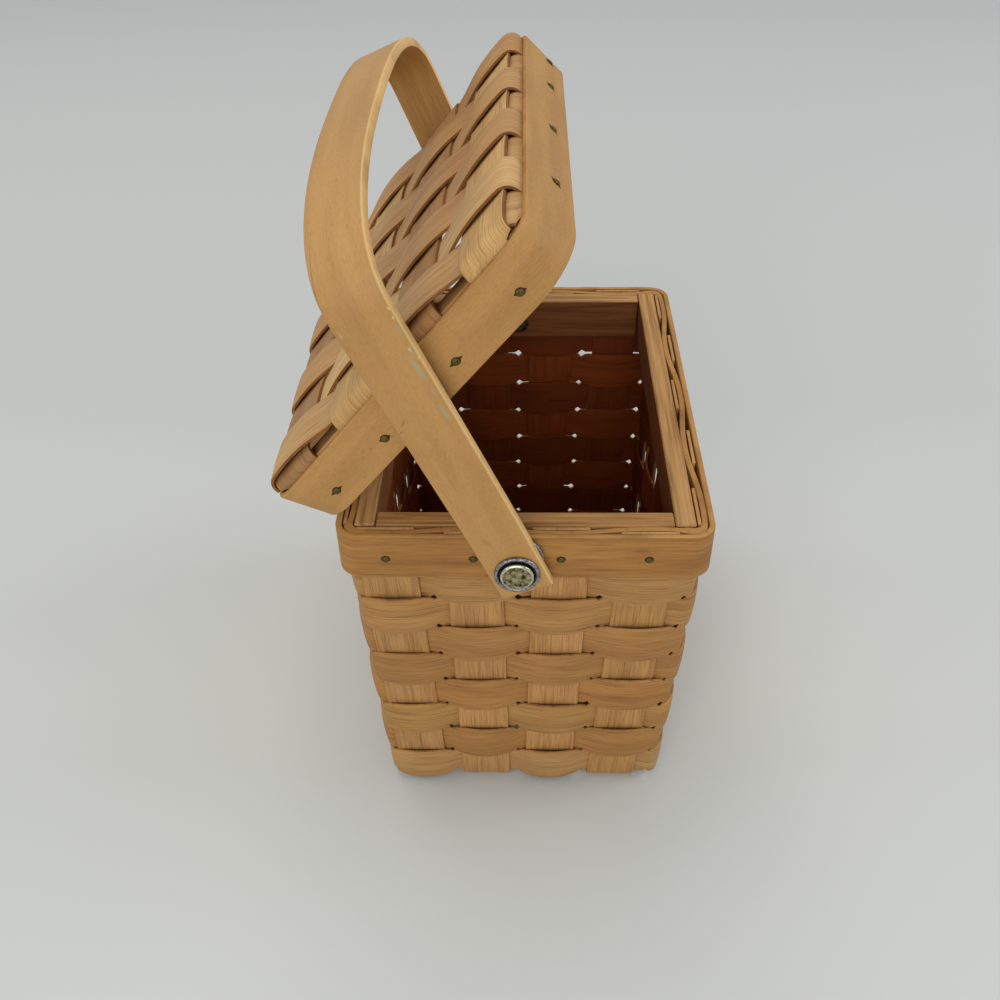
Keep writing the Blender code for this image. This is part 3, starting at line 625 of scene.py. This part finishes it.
def wall_weaver(row):
    """One weaver. Its ends meet inside the back wall, where a stake hides them."""
    node = f"weaver_{row}"
    low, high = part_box(node)
    middle = (low.z + high.z) / 2
    count = RING_STAKES * SPOT_STEPS + 1
    rise = wander(100 + row, count, 0.3 * MM, SPOT_STEPS)
    swell = wander(200 + row, count, 0.3 * MM, SPOT_STEPS)
    rise[-1], swell[-1] = rise[0], swell[0]
    first = BACK_STAKE + 1 - row % 2
    centres, across, widths = [], [], []
    for step in range(count):
        spot = (first + step / SPOT_STEPS) % RING_STAKES
        offset, share = woven_offset(spot, row, ARCH_OUT, ARCH_IN)
        at_side = 3.5 < spot < 8.5 or 12.5 < spot < 17.5
        if at_side:
            offset *= max(share - SIDE_TIGHT, 0) / (1 - SIDE_TIGHT) / max(share, 0.01)
        offset += swell[step] * share
        pinch = SIDE_PINCH if at_side else WEAVER_PINCH
        tall = pinch + (WEAVER_WIDE - pinch) * share ** PINCH_SHARP
        upper = min(offset, 1.1 * MM) if row == 1 else offset
        near = np.array(on_wall(spot, middle - tall / 2, offset))
        far = np.array(on_wall(spot, middle + tall / 2, upper))
        centres.append((near + far) / 2 + np.array((0, 0, rise[step])))
        across.append(far - near)
        widths.append(tall)
    piece = bend_strip(
        f"wall_weaver_{row}", row, centres, across, widths, SPLINT_THICK, (weaver_wood, splint_edge_highlight, shaded_inner_wood),
        rows=5, cup=0.35 * MM, closed=True,
    )
    # Inside the basket the edges get the same painted shade as the inner faces.
    for face in piece.data.polygons:
        x, y, z = face.center
        if face.material_index == 1 and abs(x) < half_across(z) - INSIDE_BY and abs(y) < half_along(z) - INSIDE_BY:
            face.material_index = 2
    return settle(piece, "basket", "weaver_wood", node)


for row in range(1, ROWS + 1):
    wall_weaver(row)
print(ROWS, "weavers")

# %% The ninth weaver, inside the rim
low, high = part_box("rim_weaver")
RIM_RING_WAVE = 1.08 * MM
RIM_RING_THICK = 1.95 * MM
RIM_RING_STOUT = 3.2 * MM
RIM_RING_LOW = low.z + 1.8 * MM
CORNER_SPOTS = (3.5, 8.5, 12.5, 17.5)
CORNER_REACH = 0.17
count = RING_STAKES * SPOT_STEPS + 1
centres, across, widths, stout = [], [], [], []
for step in range(count):
    spot = step / SPOT_STEPS
    offset, share = woven_offset(spot, 0, RIM_RING_WAVE, RIM_RING_WAVE)
    # Round a corner no stake fills the rim, and the ring does.
    near_corner = min(abs(spot - corner) for corner in CORNER_SPOTS)
    stout.append(min(max(1.5 - 1.5 * near_corner / CORNER_REACH, 0), 1))
    near, far = (np.array(on_wall(spot, z, offset)) for z in (RIM_RING_LOW, RIM_TOP - 0.5 * MM))
    centres.append((near + far) / 2)
    across.append(far - near)
    widths.append(np.linalg.norm(far - near))
rim_ring = bend_strip(
    "rim_ring", 27, centres, across, widths, RIM_RING_STOUT, (stake_wood, band_edge), closed=True, stout=stout,
    thin=RIM_RING_THICK / RIM_RING_STOUT,
)
settle(rim_ring, "basket", "weaver_wood", "rim_weaver")
print("rim ring", len(rim_ring.data.polygons), "faces")

# %% [markdown]
# ## Stakes
#
# A stake comes down one wall, turns under the base and goes up the other. It is nearly flat, and each weaver that
# passes outside presses it in a little. In the base the two sets of stakes are woven through each other.

# %% Stakes up the walls and under the base
STAKE_PRESS = 0.3 * MM
RIM_PRESS = 1.05 * MM
RIM_PRESS_OVER = 3.5 * MM
STAKE_TURN = 3.2 * MM
STAKE_THICK = 1.2 * MM
BASE_MIDDLE = 1.35 * MM
BASE_WAVE = 0.75 * MM
ROW_PITCH = (RIM_TOP - 4.9 * MM) / (ROWS + 1)


def base_level(row, column):
    """How high a front stake lies where it crosses a side stake. The side stake lies at the other level."""
    return BASE_MIDDLE + (BASE_WAVE if (row + column) % 2 == 0 else -BASE_WAVE)


def press(ring_index, z):
    """How far the weavers push a stake in or out at a height. In the rim, the ring pushes it right aside."""
    row = (RIM_TOP - 1.5 * MM - z) / ROW_PITCH - 0.5
    sign = -1 if ring_index % 2 == 0 else 1
    below = min(max((RIM_BOTTOM - z) / (6 * MM), 0), 1)
    above = min(max((z - RIM_BOTTOM) / RIM_PRESS_OVER + 0.7, 0), 1)
    return sign * (STAKE_PRESS * math.cos(math.pi * row) * below + RIM_PRESS * above * above * (3 - 2 * above))


def stake_line(half, ring_ends, places, levels):
    """A stake's side view: (distance from the middle, height), from the top of one wall to the top of the other."""
    tops = []
    for side, ring_index, level in ((-1, ring_ends[0], levels[0]), (1, ring_ends[1], levels[-1])):
        wall = [
            (side * (half(z) + press(ring_index, z)), z)
            for z in np.linspace(RIM_TOP - 0.4 * MM, level + STAKE_TURN, 60)
        ]
        foot = half(level + STAKE_TURN) - STAKE_TURN
        wall += [
            (side * (foot + STAKE_TURN * math.cos(angle)), level + STAKE_TURN * (1 - math.sin(angle)))
            for angle in np.linspace(0, math.pi / 2, 8)[1:]
        ]
        tops.append(wall)
    start, end = tops[0][-1][0], tops[1][-1][0]
    inner = np.linspace(start, end, 50)[1:-1]
    heights = []
    for spot in inner:
        near = min(max(np.searchsorted(places, spot), 1), len(places) - 1)
        share = min(max((spot - places[near - 1]) / (places[near] - places[near - 1]), 0), 1)
        share = min(max((share - 0.4) / 0.2, 0), 1)
        share = share * share * (3 - 2 * share)
        heights.append(levels[near - 1] + (levels[near] - levels[near - 1]) * share)
    return tops[0] + list(zip(inner, heights)) + tops[1][::-1]


def stake(name, number, node, line, spread, along_y):
    """One stake, from its side view and the function that gives its sideways place at a height."""
    centres = [(spread(z), d, z) if along_y else (d, spread(z), z) for d, z in line]
    across = [(1, 0, 0) if along_y else (0, -1, 0)] * len(line)
    widths = STAKE_WIDE + wander(300 + number, len(line), 0.12 * MM, 12)
    piece = bend_strip(
        name, number, centres, across, widths, STAKE_THICK, (stake_wood, splint_edge_highlight, shaded_inner_wood), rows=4
    )
    return settle(piece, "basket", "stake_wood", node)


for i in range(STAKES_ACROSS):
    places = [along_place(j, 0) for j in range(STAKES_ALONG)]
    levels = [base_level(i, j) for j in range(STAKES_ALONG)]
    line = stake_line(half_along, (i, 12 - i), places, levels)
    stake(f"upright_front_{i + 1}", 18 + i, f"front_stake_{i + 1}", line, lambda z, i=i: across_place(i, z), True)
for j in range(STAKES_ALONG):
    places = [across_place(i, 0) for i in range(STAKES_ACROSS)]
    levels = [2 * BASE_MIDDLE - base_level(i, j) for i in range(STAKES_ACROSS)]
    line = stake_line(half_across, (17 - j, 4 + j), places, levels)
    stake(f"upright_side_{j + 1}", 22 + j, f"side_stake_{j + 1}", line, lambda z, j=j: along_place(j, z), False)
print(STAKES_ACROSS + STAKES_ALONG, "stakes")

# %% [markdown]
# ## Bands
#
# The rim's band is bent round the outside of the wall. The lid's band is the same, and its corners are rounder
# along the lower edge than along the upper one, where the strip was bent round its form.

# %% The band round the rim
RIM_CORNER = 8.0 * MM
CORNER_STEPS = 12
SIDE_STEPS = 24


def round_rectangle(half_wide, half_deep, corner):
    """Points round a rectangle with round corners, from the middle of the back, with the first point repeated."""
    points = []
    for turn, (side_x, side_y) in enumerate(((1, -1), (1, 1), (-1, 1), (-1, -1))):
        arc = [math.pi / 2 * (turn - 1 + step / CORNER_STEPS) for step in range(CORNER_STEPS + 1)]
        bend = [
            (side_x * (half_wide - corner) + corner * math.cos(a), side_y * (half_deep - corner) + corner * math.sin(a))
            for a in arc
        ]
        if points:
            points += [tuple(p) for p in np.linspace(points[-1], bend[0], SIDE_STEPS)[1:-1]]
        points += bend
    points += [tuple(p) for p in np.linspace(points[-1], points[0], SIDE_STEPS)[1:]]
    middle = 2 * (CORNER_STEPS + 1 + SIDE_STEPS - 2) - SIDE_STEPS // 2 + CORNER_STEPS + 1
    points = points[:-1]
    return points[middle:] + points[:middle + 1]


line = round_rectangle(RIM_HALF_WIDE - BAND_THICK / 2, RIM_HALF_DEEP - BAND_THICK / 2, RIM_CORNER - BAND_THICK / 2)
middle = (RIM_BOTTOM + RIM_TOP) / 2
waver = wander(400, len(line), 0.12 * MM, 14)
waver[-1] = waver[0]
rim_hoop = bend_strip(
    "rim_hoop", 40, [(x, y, middle) for x, y in line], [(0, 0, 1)] * len(line),
    RIM_TOP - RIM_BOTTOM + waver, BAND_THICK, (rim_wood, band_edge), rows=6, closed=True, ease=0.45 * MM,
)
settle(rim_hoop, "basket", "bent_wood", "rim_band")
print("rim hoop", len(rim_hoop.data.polygons), "faces")

# %% [markdown]
# ## The lid's own directions
#
# The lid stands tipped up on its hinges. It is modelled in its own directions: U runs from the hinges to the far
# long side, Y from front to back, and N outwards through the woven top. One function turns those into the row's.

# %% Lid directions
hinge = next(joint for joint in frame["joints"] if joint["name"] == "lid_hinge")
HINGE = Vector(hinge["pos_m"])
LID_TIP = math.radians(50.5)
LID_U = Vector((math.cos(LID_TIP), 0, math.sin(LID_TIP)))
LID_N = Vector((-math.sin(LID_TIP), 0, math.cos(LID_TIP)))
LID_MIDDLE = 64.3 * MM
LID_BAND_LOW = 3.1 * MM
LID_BAND_HIGH = 21.1 * MM
LID_LEVEL = 24.7 * MM


def on_lid(u, y, n):
    """A place on the lid. u counts from the lid's middle."""
    return HINGE + LID_U * (u + LID_MIDDLE) + Vector((0, y, 0)) + LID_N * n


print("lid middle at", [round(v, 4) for v in on_lid(0, 0, LID_LEVEL)])

# %% The band round the lid
LID_CORNER_LOW = 18.0 * MM
LID_CORNER_HIGH = 9.5 * MM
near, far = (
    round_rectangle(
        RIM_HALF_WIDE - BAND_THICK / 2, RIM_HALF_DEEP - BAND_THICK / 2, corner - BAND_THICK / 2
    )
    for corner in (LID_CORNER_LOW, LID_CORNER_HIGH)
)
low_edge = np.array([on_lid(x, y, LID_BAND_LOW) for x, y in near])
high_edge = np.array([on_lid(x, y, LID_BAND_HIGH) for x, y in far])
lid_hoop = bend_strip(
    "lid_hoop", 41, (low_edge + high_edge) / 2, high_edge - low_edge,
    np.linalg.norm(high_edge - low_edge, axis=1), BAND_THICK, (band_wood, band_edge), rows=6, closed=True,
    ease=0.45 * MM,
)
settle(lid_hoop, "lid", "bent_wood", "lid_band")
print("lid hoop", len(lid_hoop.data.polygons), "faces")

# %% [markdown]
# ## The woven top
#
# Four splints run front to back, and eight run across them, over one and under the next. Their tails turn down
# inside the band. The cross splints arch high between the four long ones, so the top is full of deep shadows.

# %% Splints of the lid
LID_SPLINTS, LID_CROSSES = 4, 8
LID_TAIL = 9.0 * MM
LID_TURN = 4.2 * MM
LID_OUT = 2.0 * MM
LID_IN = 1.5 * MM
TAIL_PLANE = 2.9 * MM
CROSS_WIDE = 20.4 * MM
CROSS_PINCH = 19.5 * MM


def lid_places(half, count):
    """The middles of the lid's splints."""
    room = half - 4.9 * MM - STAKE_WIDE / 2
    return [room * (2 * i / (count - 1) - 1) for i in range(count)]


def lid_line(half, level_at):
    """A lid splint's side view: up one tail, over the lid and down the other."""
    plane = half - TAIL_PLANE
    start, end = level_at(-plane + LID_TURN), level_at(plane - LID_TURN)
    ends = []
    for side, level in ((-1, start), (1, end)):
        tail = [(side * plane, n) for n in np.linspace(LID_TAIL, level - LID_TURN, 8)]
        tail += [
            (side * (plane - LID_TURN * (1 - math.cos(a))), level - LID_TURN * (1 - math.sin(a)))
            for a in np.linspace(0, math.pi / 2, 9)[1:]
        ]
        ends.append(tail)
    middle = [(d, level_at(d)) for d in np.linspace(-plane + LID_TURN, plane - LID_TURN, 90)[1:-1]]
    return ends[0] + middle + ends[1][::-1]


def corner_reach(out, beside, n):
    """How far sideways a tail may spread before the band's round corner."""
    share = min(max((n - LID_BAND_LOW) / (LID_BAND_HIGH - LID_BAND_LOW), 0), 1)
    corner = LID_CORNER_LOW + (LID_CORNER_HIGH - LID_CORNER_LOW) * share
    depth = max(TAIL_PLANE * -1 + corner + 0.65 * MM, 0)
    inside = corner - BAND_THICK
    return beside - corner + math.sqrt(max(inside ** 2 - depth ** 2, 0))


def trim(line, place, half, beside, wide):
    """The strip's middle and width along its line, trimmed where a tail meets a round corner."""
    middles, widths = [], []
    for (d, n), full in zip(line, wide):
        low, high = place - full / 2, place + full / 2
        if n < LID_BAND_HIGH + 0.4 * MM:
            reach = corner_reach(half, beside, n)
            low, high = max(low, -reach), min(high, reach)
        middles.append((low + high) / 2)
        widths.append(high - low)
    return middles, widths


def long_splint(index, place):
    """A splint that runs front to back, pressed a little by the ones across it."""
    rows = lid_places(RIM_HALF_DEEP, LID_CROSSES)
    pitch = rows[1] - rows[0]

    def level_at(d):
        sign = -1 if index % 2 == 0 else 1
        return LID_LEVEL + sign * 0.35 * MM * math.cos(math.pi * (d - rows[0]) / pitch)

    line = lid_line(RIM_HALF_DEEP, level_at)
    wide = STAKE_WIDE + wander(500 + index, len(line), 0.12 * MM, 12)
    middles, widths = trim(line, place, RIM_HALF_DEEP, RIM_HALF_WIDE, wide)
    centres = [on_lid(u, d, n) for (d, n), u in zip(line, middles)]
    piece = bend_strip(
        f"lid_long_{index + 1}", 48 + index, centres, [-LID_U] * len(line), widths, STAKE_THICK,
        (lid_wood, shaded_lid_edge, shaded_inner_wood), rows=4,
    )
    return settle(piece, "lid", "lid_wood", f"lid_splint_{index + 1}")


def cross_splint(index, place):
    """A splint that runs from the hinges to the far side, arching over and under the long ones."""
    posts = lid_places(RIM_HALF_WIDE, LID_SPLINTS)
    pitch = posts[1] - posts[0]

    def level_at(d):
        offset, _ = woven_offset((d - posts[0]) / pitch + 2, index, LID_OUT, LID_IN)
        return LID_LEVEL + offset

    line = lid_line(RIM_HALF_WIDE, level_at)
    wide = []
    for d, n in line:
        share = woven_offset((d - posts[0]) / pitch + 2, index, 1, 1)[1]
        wide.append(CROSS_PINCH + (CROSS_WIDE - CROSS_PINCH) * share)
    wide += wander(600 + index, len(line), 0.15 * MM, 12)
    middles, widths = trim(line, place, RIM_HALF_WIDE, RIM_HALF_DEEP, wide)
    centres = [on_lid(d, y, n) for (d, n), y in zip(line, middles)]
    piece = bend_strip(
        f"lid_across_{index + 1}", 52 + index, centres, [(0, 1, 0)] * len(line), widths, SPLINT_THICK,
        (lid_wood, shaded_lid_edge, shaded_inner_wood), rows=5, cup=0.3 * MM,
    )
    return settle(piece, "lid", "lid_wood", f"lid_cross_{index + 1}")


for index, place in enumerate(lid_places(RIM_HALF_WIDE, LID_SPLINTS)):
    long_splint(index, place)
for index, place in enumerate(lid_places(RIM_HALF_DEEP, LID_CROSSES)):
    cross_splint(index, place)
print(LID_SPLINTS + LID_CROSSES, "lid splints")

# %% [markdown]
# ## Handle
#
# The handle is one strip of wood about 3 mm thick, steamed and bent into a flat arch. Its two ends are square, and
# it leans on its rivets to the left. It was sanded, so its edges are rounder than a splint's.

# %% The bent handle
swing = next(joint for joint in frame["joints"] if joint["name"] == "handle_swing")
PIVOT = Vector(swing["pos_m"])
HANDLE_LEAN = math.radians(23.0)
HANDLE_UP = Vector((-math.sin(HANDLE_LEAN), 0, math.cos(HANDLE_LEAN)))
HANDLE_ACROSS = Vector((math.cos(HANDLE_LEAN), 0, math.sin(HANDLE_LEAN)))
HANDLE_WIDE = 18.2 * MM
HANDLE_THICK = 3.5 * MM
HANDLE_FOOT = 86.8 * MM
HANDLE_SPAN = 91.0 * MM
HANDLE_END = 9.2 * MM
HANDLE_FLAT = 14.0 * MM
HANDLE_LEG = 105.5 * MM
HANDLE_TALL = 131.4 * MM
ARCH_POWER = 2.6

leg = [(HANDLE_FOOT, h) for h in np.linspace(-HANDLE_END, HANDLE_FLAT, 8)]
for share in np.linspace(0, 1, 40)[1:]:
    eased = share ** 1.15
    leg.append((HANDLE_FOOT + (HANDLE_SPAN - HANDLE_FOOT) * eased, HANDLE_FLAT + (HANDLE_LEG - HANDLE_FLAT) * share))
top = []
for angle in np.linspace(0, math.pi, 61)[1:-1]:
    reach = HANDLE_SPAN * math.copysign(abs(math.cos(angle)) ** (2 / ARCH_POWER), math.cos(angle))
    top.append((-reach, HANDLE_LEG + (HANDLE_TALL - HANDLE_LEG) * math.sin(angle) ** (2 / ARCH_POWER)))
line = [(-y, h) for y, h in leg] + top + leg[::-1]
centres = [PIVOT + HANDLE_UP * h + Vector((0, y, 0)) for y, h in line]
bent_handle = bend_strip(
    "bent_handle", HANDLE_STRIP, centres, [-HANDLE_ACROSS] * len(line), [HANDLE_WIDE] * len(line), HANDLE_THICK,
    (handle_wood, handle_edge_highlight, handle_inner_shade), rows=4, ease=0.4 * MM,
)
settle(bent_handle, "handle", "handle_wood", "handle")
print("handle", len(bent_handle.data.polygons), "faces")

# %% [markdown]
# ## Sawn strips and metal
#
# The sawn strips and the hinges have their real shape already, so they only get a finish. Their meshes have no UV
# map, so their wood and metal read Object coordinates.

# %% Finishes for the sawn strips and the metal
def plain_metal(name, codes, rough, grain_mm, metallic=1.0):
    """Metal with a mottled surface. codes are its dark and light colours."""
    made, tree = new_material(name)
    place = add(tree, "ShaderNodeTexCoord").outputs["Object"]
    mottle = add(
        tree, "ShaderNodeTexNoise", {"Scale": 1 / (grain_mm * MM), "Detail": 5.0, "Roughness": 0.6},
        {"Vector": place},
    )
    tone = add(
        tree, "ShaderNodeValToRGB", links={"Fac": mottle.outputs["Fac"]}, stops=[(0.35, codes[0]), (0.65, codes[1])]
    )
    shine = add(
        tree, "ShaderNodeMapRange", {"To Min": rough[0], "To Max": rough[1]}, {"Value": mottle.outputs["Fac"]}
    )
    bump = add(
        tree, "ShaderNodeBump", {"Strength": 0.3, "Distance": 0.1 * MM}, {"Height": mottle.outputs["Fac"]}
    )
    shader = add(
        tree, "ShaderNodeBsdfPrincipled", {"Metallic": metallic},
        {"Base Color": tone.outputs[0], "Roughness": shine.outputs[0], "Normal": bump.outputs[0]},
    )
    surface(tree, shader.outputs[0])
    return made


def sawn_wood(name, turn, codes, painted_side_shade=0.0):
    """Sawn wood on Object coordinates. turn lays the grain along X, and the last argument paints shade on the upright
    faces, up to that share.
    """
    made, tree = new_material(name)
    coordinates = add(tree, "ShaderNodeTexCoord")
    place = coordinates.outputs["Object"]
    turned = add(tree, "ShaderNodeMapping", {"Rotation": turn}, {"Vector": place})
    stretched = add(
        tree, "ShaderNodeMapping", {"Scale": (1 / (40 * MM), 1 / (1.6 * MM), 1 / (1.6 * MM))},
        {"Vector": turned.outputs[0]},
    )
    grain = add(
        tree, "ShaderNodeTexNoise", {"Scale": 1.0, "Detail": 6.0, "Roughness": 0.6, "Distortion": 0.2},
        {"Vector": stretched.outputs[0]},
    )
    tone = add(
        tree, "ShaderNodeValToRGB", links={"Fac": grain.outputs["Fac"]},
        stops=[(0.3, codes[0]), (0.5, codes[1]), (0.7, codes[2])],
    )
    colour = tone.outputs[0]
    if painted_side_shade:
        # Painted shade: upright faces are darkened and reddened, as the strips' sides lie in the basket's shade.
        facing = add(tree, "ShaderNodeSeparateXYZ", links={"Vector": coordinates.outputs["Normal"]})
        upright = add(
            tree, "ShaderNodeMapRange", {"From Min": 0.8, "From Max": 0.3}, {"Value": facing.outputs["Z"]}
        )
        colour = tinted(tree, colour, upright.outputs["Result"], "#9A6028", painted_side_shade, "MULTIPLY")
    bump = add(
        tree, "ShaderNodeBump", {"Strength": 0.4, "Distance": 0.1 * MM}, {"Height": grain.outputs["Fac"]}
    )
    shader = add(
        tree, "ShaderNodeBsdfPrincipled", {"Roughness": 0.65, "Specular IOR Level": 0.3},
        {"Base Color": colour, "Normal": bump.outputs[0]},
    )
    surface(tree, shader.outputs[0])
    return made


SAWN = ("#7E5427", "#B0844E", "#C49863")
SAWN_DARK = ("#6A451E", "#A0723E", "#BA8D56")
QUARTER = math.pi / 2
# The rim's back, left and right strips get painted shade on their upright faces.
across_grain = sawn_wood("sawn pine, grain left to right", (0, 0, 0), SAWN, 0.8)
front_grain = sawn_wood("darker sawn pine, grain left to right", (0, 0, 0), SAWN_DARK)
along_grain = sawn_wood("sawn pine, grain front to back", (0, 0, QUARTER), SAWN, 0.8)
lid_along_grain = sawn_wood("sawn pine in the lid, grain front to back", (0, 0, QUARTER), SAWN)
lid_grain = sawn_wood("sawn pine, grain up the lid", (0, LID_TIP, 0), SAWN)
zinc = plain_metal("zinc plated washer", ("#3A3940", "#B4B2B6"), (0.35, 0.5), 0.6, 0.9)
washer_shade = plain_metal("zinc in painted shade", ("#111114", "#242426"), (0.5, 0.7), 0.5, 0.8)
brass = plain_metal("dull silvery brass", ("#2E2817", "#C2B78C"), (0.25, 0.45), 1.7)
brass_highlight = plain_metal("silvery brass, painted highlight", ("#B5AD8C", "#E6E0C6"), (0.2, 0.35), 1.0)
nail_metal = plain_metal("tarnished nail", ("#3A3115", "#7E6E3A"), (0.55, 0.7), 0.5, 0.9)
hinge_metal = plain_metal("brass plated steel", ("#8F7A48", "#B49B62"), (0.3, 0.45), 1.5)
split_dark = wood("dark split round a nail", ("#3A2410", "#2C1A0A"), 0.8, 0.3)
finishes = {
    "rim_left_strip": along_grain, "rim_right_strip": along_grain, "rim_front_strip": front_grain,
    "rim_back_strip": across_grain, "lid_left_strip": lid_along_grain, "lid_right_strip": lid_along_grain,
    "lid_front_strip": lid_grain, "lid_back_strip": lid_grain,
}
for name, node in frame["nodes"].items():
    finish = hinge_metal if name.startswith("hinge") else finishes.get(name)
    if finish:
        node.data.materials.clear()
        node.data.materials.append(finish)
print(len(finishes), "strips and the hinges keep their shape")

# %% [markdown]
# ## Rivets, washers and nails
#
# These are all turned or stamped round. By hand each one starts as a flat disc, and its face is extruded and
# scaled ring by ring until it has its rounded edge and its dome. It is made lying flat, then turned to face out of
# the wall that it sits on.

# %% Round metal pieces
AROUND = 40


def stamped(name, rings, place, facing, finish, body, around=AROUND):
    """A round piece from its rings of (radius, height), set at a place and facing out of a wall."""
    deselect()
    bpy.ops.mesh.primitive_circle_add(vertices=around, radius=rings[0][0], fill_type="NGON")
    piece = bpy.context.object
    piece.name = name
    bpy.ops.object.mode_set(mode="EDIT")
    for (before, low), (radius, high) in zip(rings, rings[1:]):
        bpy.ops.mesh.extrude_region_move(TRANSFORM_OT_translate={"value": (0, 0, high - low)})
        share = radius / before
        bpy.ops.transform.resize(value=(share, share, 1), center_override=(0, 0, high))
    bpy.ops.mesh.select_all(action="SELECT")
    bpy.ops.mesh.normals_make_consistent(inside=False)
    bpy.ops.object.mode_set(mode="OBJECT")
    piece.data.materials.append(finish)
    bpy.ops.object.shade_smooth_by_angle(angle=math.radians(50))
    turn = Vector(facing).to_track_quat("Z", "Y").to_matrix().to_4x4()
    piece.matrix_world = Matrix.Translation(place) @ turn
    bpy.ops.object.transform_apply(location=True, rotation=True, scale=True)
    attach(piece, body)
    return piece


WASHER = 7.5
HEAD = 5.6
ring_shape = [
    (WASHER - 0.3, 0), (WASHER, 0.25), (WASHER, 0.9), (WASHER - 0.25, 1.2), (6.7, 1.25), (6.4, 1.05), (6.25, 0.4)
]
PLATE = 7.6
head_shape = [(4.7, 0.35), (5.0, 0.6), (5.4, 0.9), (HEAD, 1.3), (5.55, 1.9), (5.3, 2.25), (4.8, 2.3), (3.6, 2.5), (1.8, 2.75)]
plate_shape = [(PLATE - 0.3, 0), (PLATE, 0.25), (PLATE, 1.1), (PLATE - 0.3, 1.4), (PLATE - 0.9, 1.45), (PLATE - 1.3, 1.1)]
HIGHLIGHT_RADIUS = 5.0
LOOSE = (1.2 * MM, 2.9 * MM)
clinch_shape = [(3.6, 0), (4.2, 0.3), (4.1, 0.8), (3.2, 1.15), (1.4, 1.2)]
for side, way in (("front", -1), ("back", 1)):
    out = (0, way, 0)

    def shape(rings):
        return [(radius * MM, height * MM) for radius, height in rings]

    def beside(y):
        return PIVOT + Vector((0, way * y * MM, 0))

    outer = stamped(f"{side}_ring", shape(ring_shape), beside(88.7), out, zinc, "basket")
    # The recessed middle of the outer washer is painted shade, nearly black.
    outer.data.materials.append(washer_shade)
    for face in outer.data.polygons:
        if (face.center - beside(89.7)).length < 6.2 * MM:
            face.material_index = 1
    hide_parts(f"{side}_outer_washer")
    # The inner washer is loose on its rivet, and sits a little high.
    high = beside(83.3) + Vector((LOOSE[0], 0, LOOSE[1]))
    inner = stamped(f"{side}_plate", shape(plate_shape), high, out, zinc, "basket")
    # The inner washer's middle is painted shade too.
    inner.data.materials.append(washer_shade)
    for face in inner.data.polygons:
        if math.hypot(face.center.x - high.x, face.center.z - high.z) < (PLATE - 1.2) * MM:
            face.material_index = 1
    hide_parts(f"{side}_inner_washer")
    centre = beside(88.7) - Vector((0, 0, 0.35 * MM))
    head = stamped(f"{side}_rivet_head", shape(head_shape), centre, out, brass, "basket")
    # The rivet head's outer ring is a painted highlight.
    head.data.materials.append(brass_highlight)
    for face in head.data.polygons:
        if math.hypot(face.center.x - centre.x, face.center.z - centre.z) > HIGHLIGHT_RADIUS * MM:
            face.material_index = 1
    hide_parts(f"{side}_rivet")
    stamped(
        f"{side}_rivet_end", shape(clinch_shape), beside(69.7), (0, -way, 0), brass, "basket"
    )
print("2 rivets")

# %% Nails, each in its own small split
NAIL_SHAPE = [(1.2 * MM, -0.3 * MM), (1.2 * MM, 0.12 * MM), (1.0 * MM, 0.24 * MM), (0.5 * MM, 0.3 * MM)]
SPLIT_AROUND = 1.55 * MM
SPLIT_TAIL = 1.2 * MM


def nail(name, place, facing, lean, body, tail, *nodes):
    """A nail's head, sunk in a small dark hole with a split as long as tail on both sides."""
    head = stamped(name, NAIL_SHAPE, place, facing, nail_metal, body, 16)
    if nodes:
        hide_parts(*nodes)
    deselect()
    bpy.ops.mesh.primitive_circle_add(vertices=16, radius=SPLIT_AROUND, fill_type="NGON")
    split = bpy.context.object
    split.name = name + "_split"
    for vertex in split.data.vertices:
        if abs(vertex.co.x) > 0.97 * SPLIT_AROUND:
            vertex.co.x *= 1 + tail / SPLIT_AROUND
        vertex.co.y *= 0.88
    bpy.ops.object.mode_set(mode="EDIT")
    bpy.ops.mesh.select_all(action="SELECT")
    bpy.ops.mesh.extrude_region_move(TRANSFORM_OT_translate={"value": (0, 0, 0.06 * MM)})
    bpy.ops.mesh.select_all(action="SELECT")
    bpy.ops.mesh.normals_make_consistent(inside=False)
    bpy.ops.object.mode_set(mode="OBJECT")
    split.data.materials.append(split_dark)
    turn = Vector(facing).to_track_quat("Z", "Y").to_matrix().to_4x4() @ Matrix.Rotation(lean, 4, "Z")
    split.matrix_world = Matrix.Translation(place) @ turn
    bpy.ops.object.transform_apply(location=True, rotation=True, scale=True)
    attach(split, body)


for i in range(STAKES_ACROSS):
    low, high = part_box(f"rim_nail_{i + 1}")
    place = Vector(((low.x + high.x) / 2, -RIM_HALF_DEEP, (low.z + high.z) / 2 - 0.6 * MM))
    nail(f"rim_nail_head_{i + 1}", place, (0, -1, 0), 0.0, "basket", 0, f"rim_nail_{i + 1}")
NAIL_RISE = 9.8 * MM
for i, u in enumerate((20.5, 46.8, 82.0, 110.5)):
    for side, way in (("front", -1), ("back", 1)):
        place = on_lid(u * MM - LID_MIDDLE, way * RIM_HALF_DEEP, NAIL_RISE)
        nail(f"lid_{side}_nail_{i + 1}", place, (0, way, 0), 0.8 - 0.2 * (i % 2), "lid", SPLIT_TAIL * (1, 0.5)[i % 2])
for i, y in enumerate((-41.0, 0.5, 40.5, 66.5)):
    place = on_lid(RIM_HALF_WIDE, y * MM, NAIL_RISE)
    nail(f"lid_right_nail_{i + 1}", place, LID_U, 0.7, "lid", SPLIT_TAIL)
print("nails in the rim and in the lid")
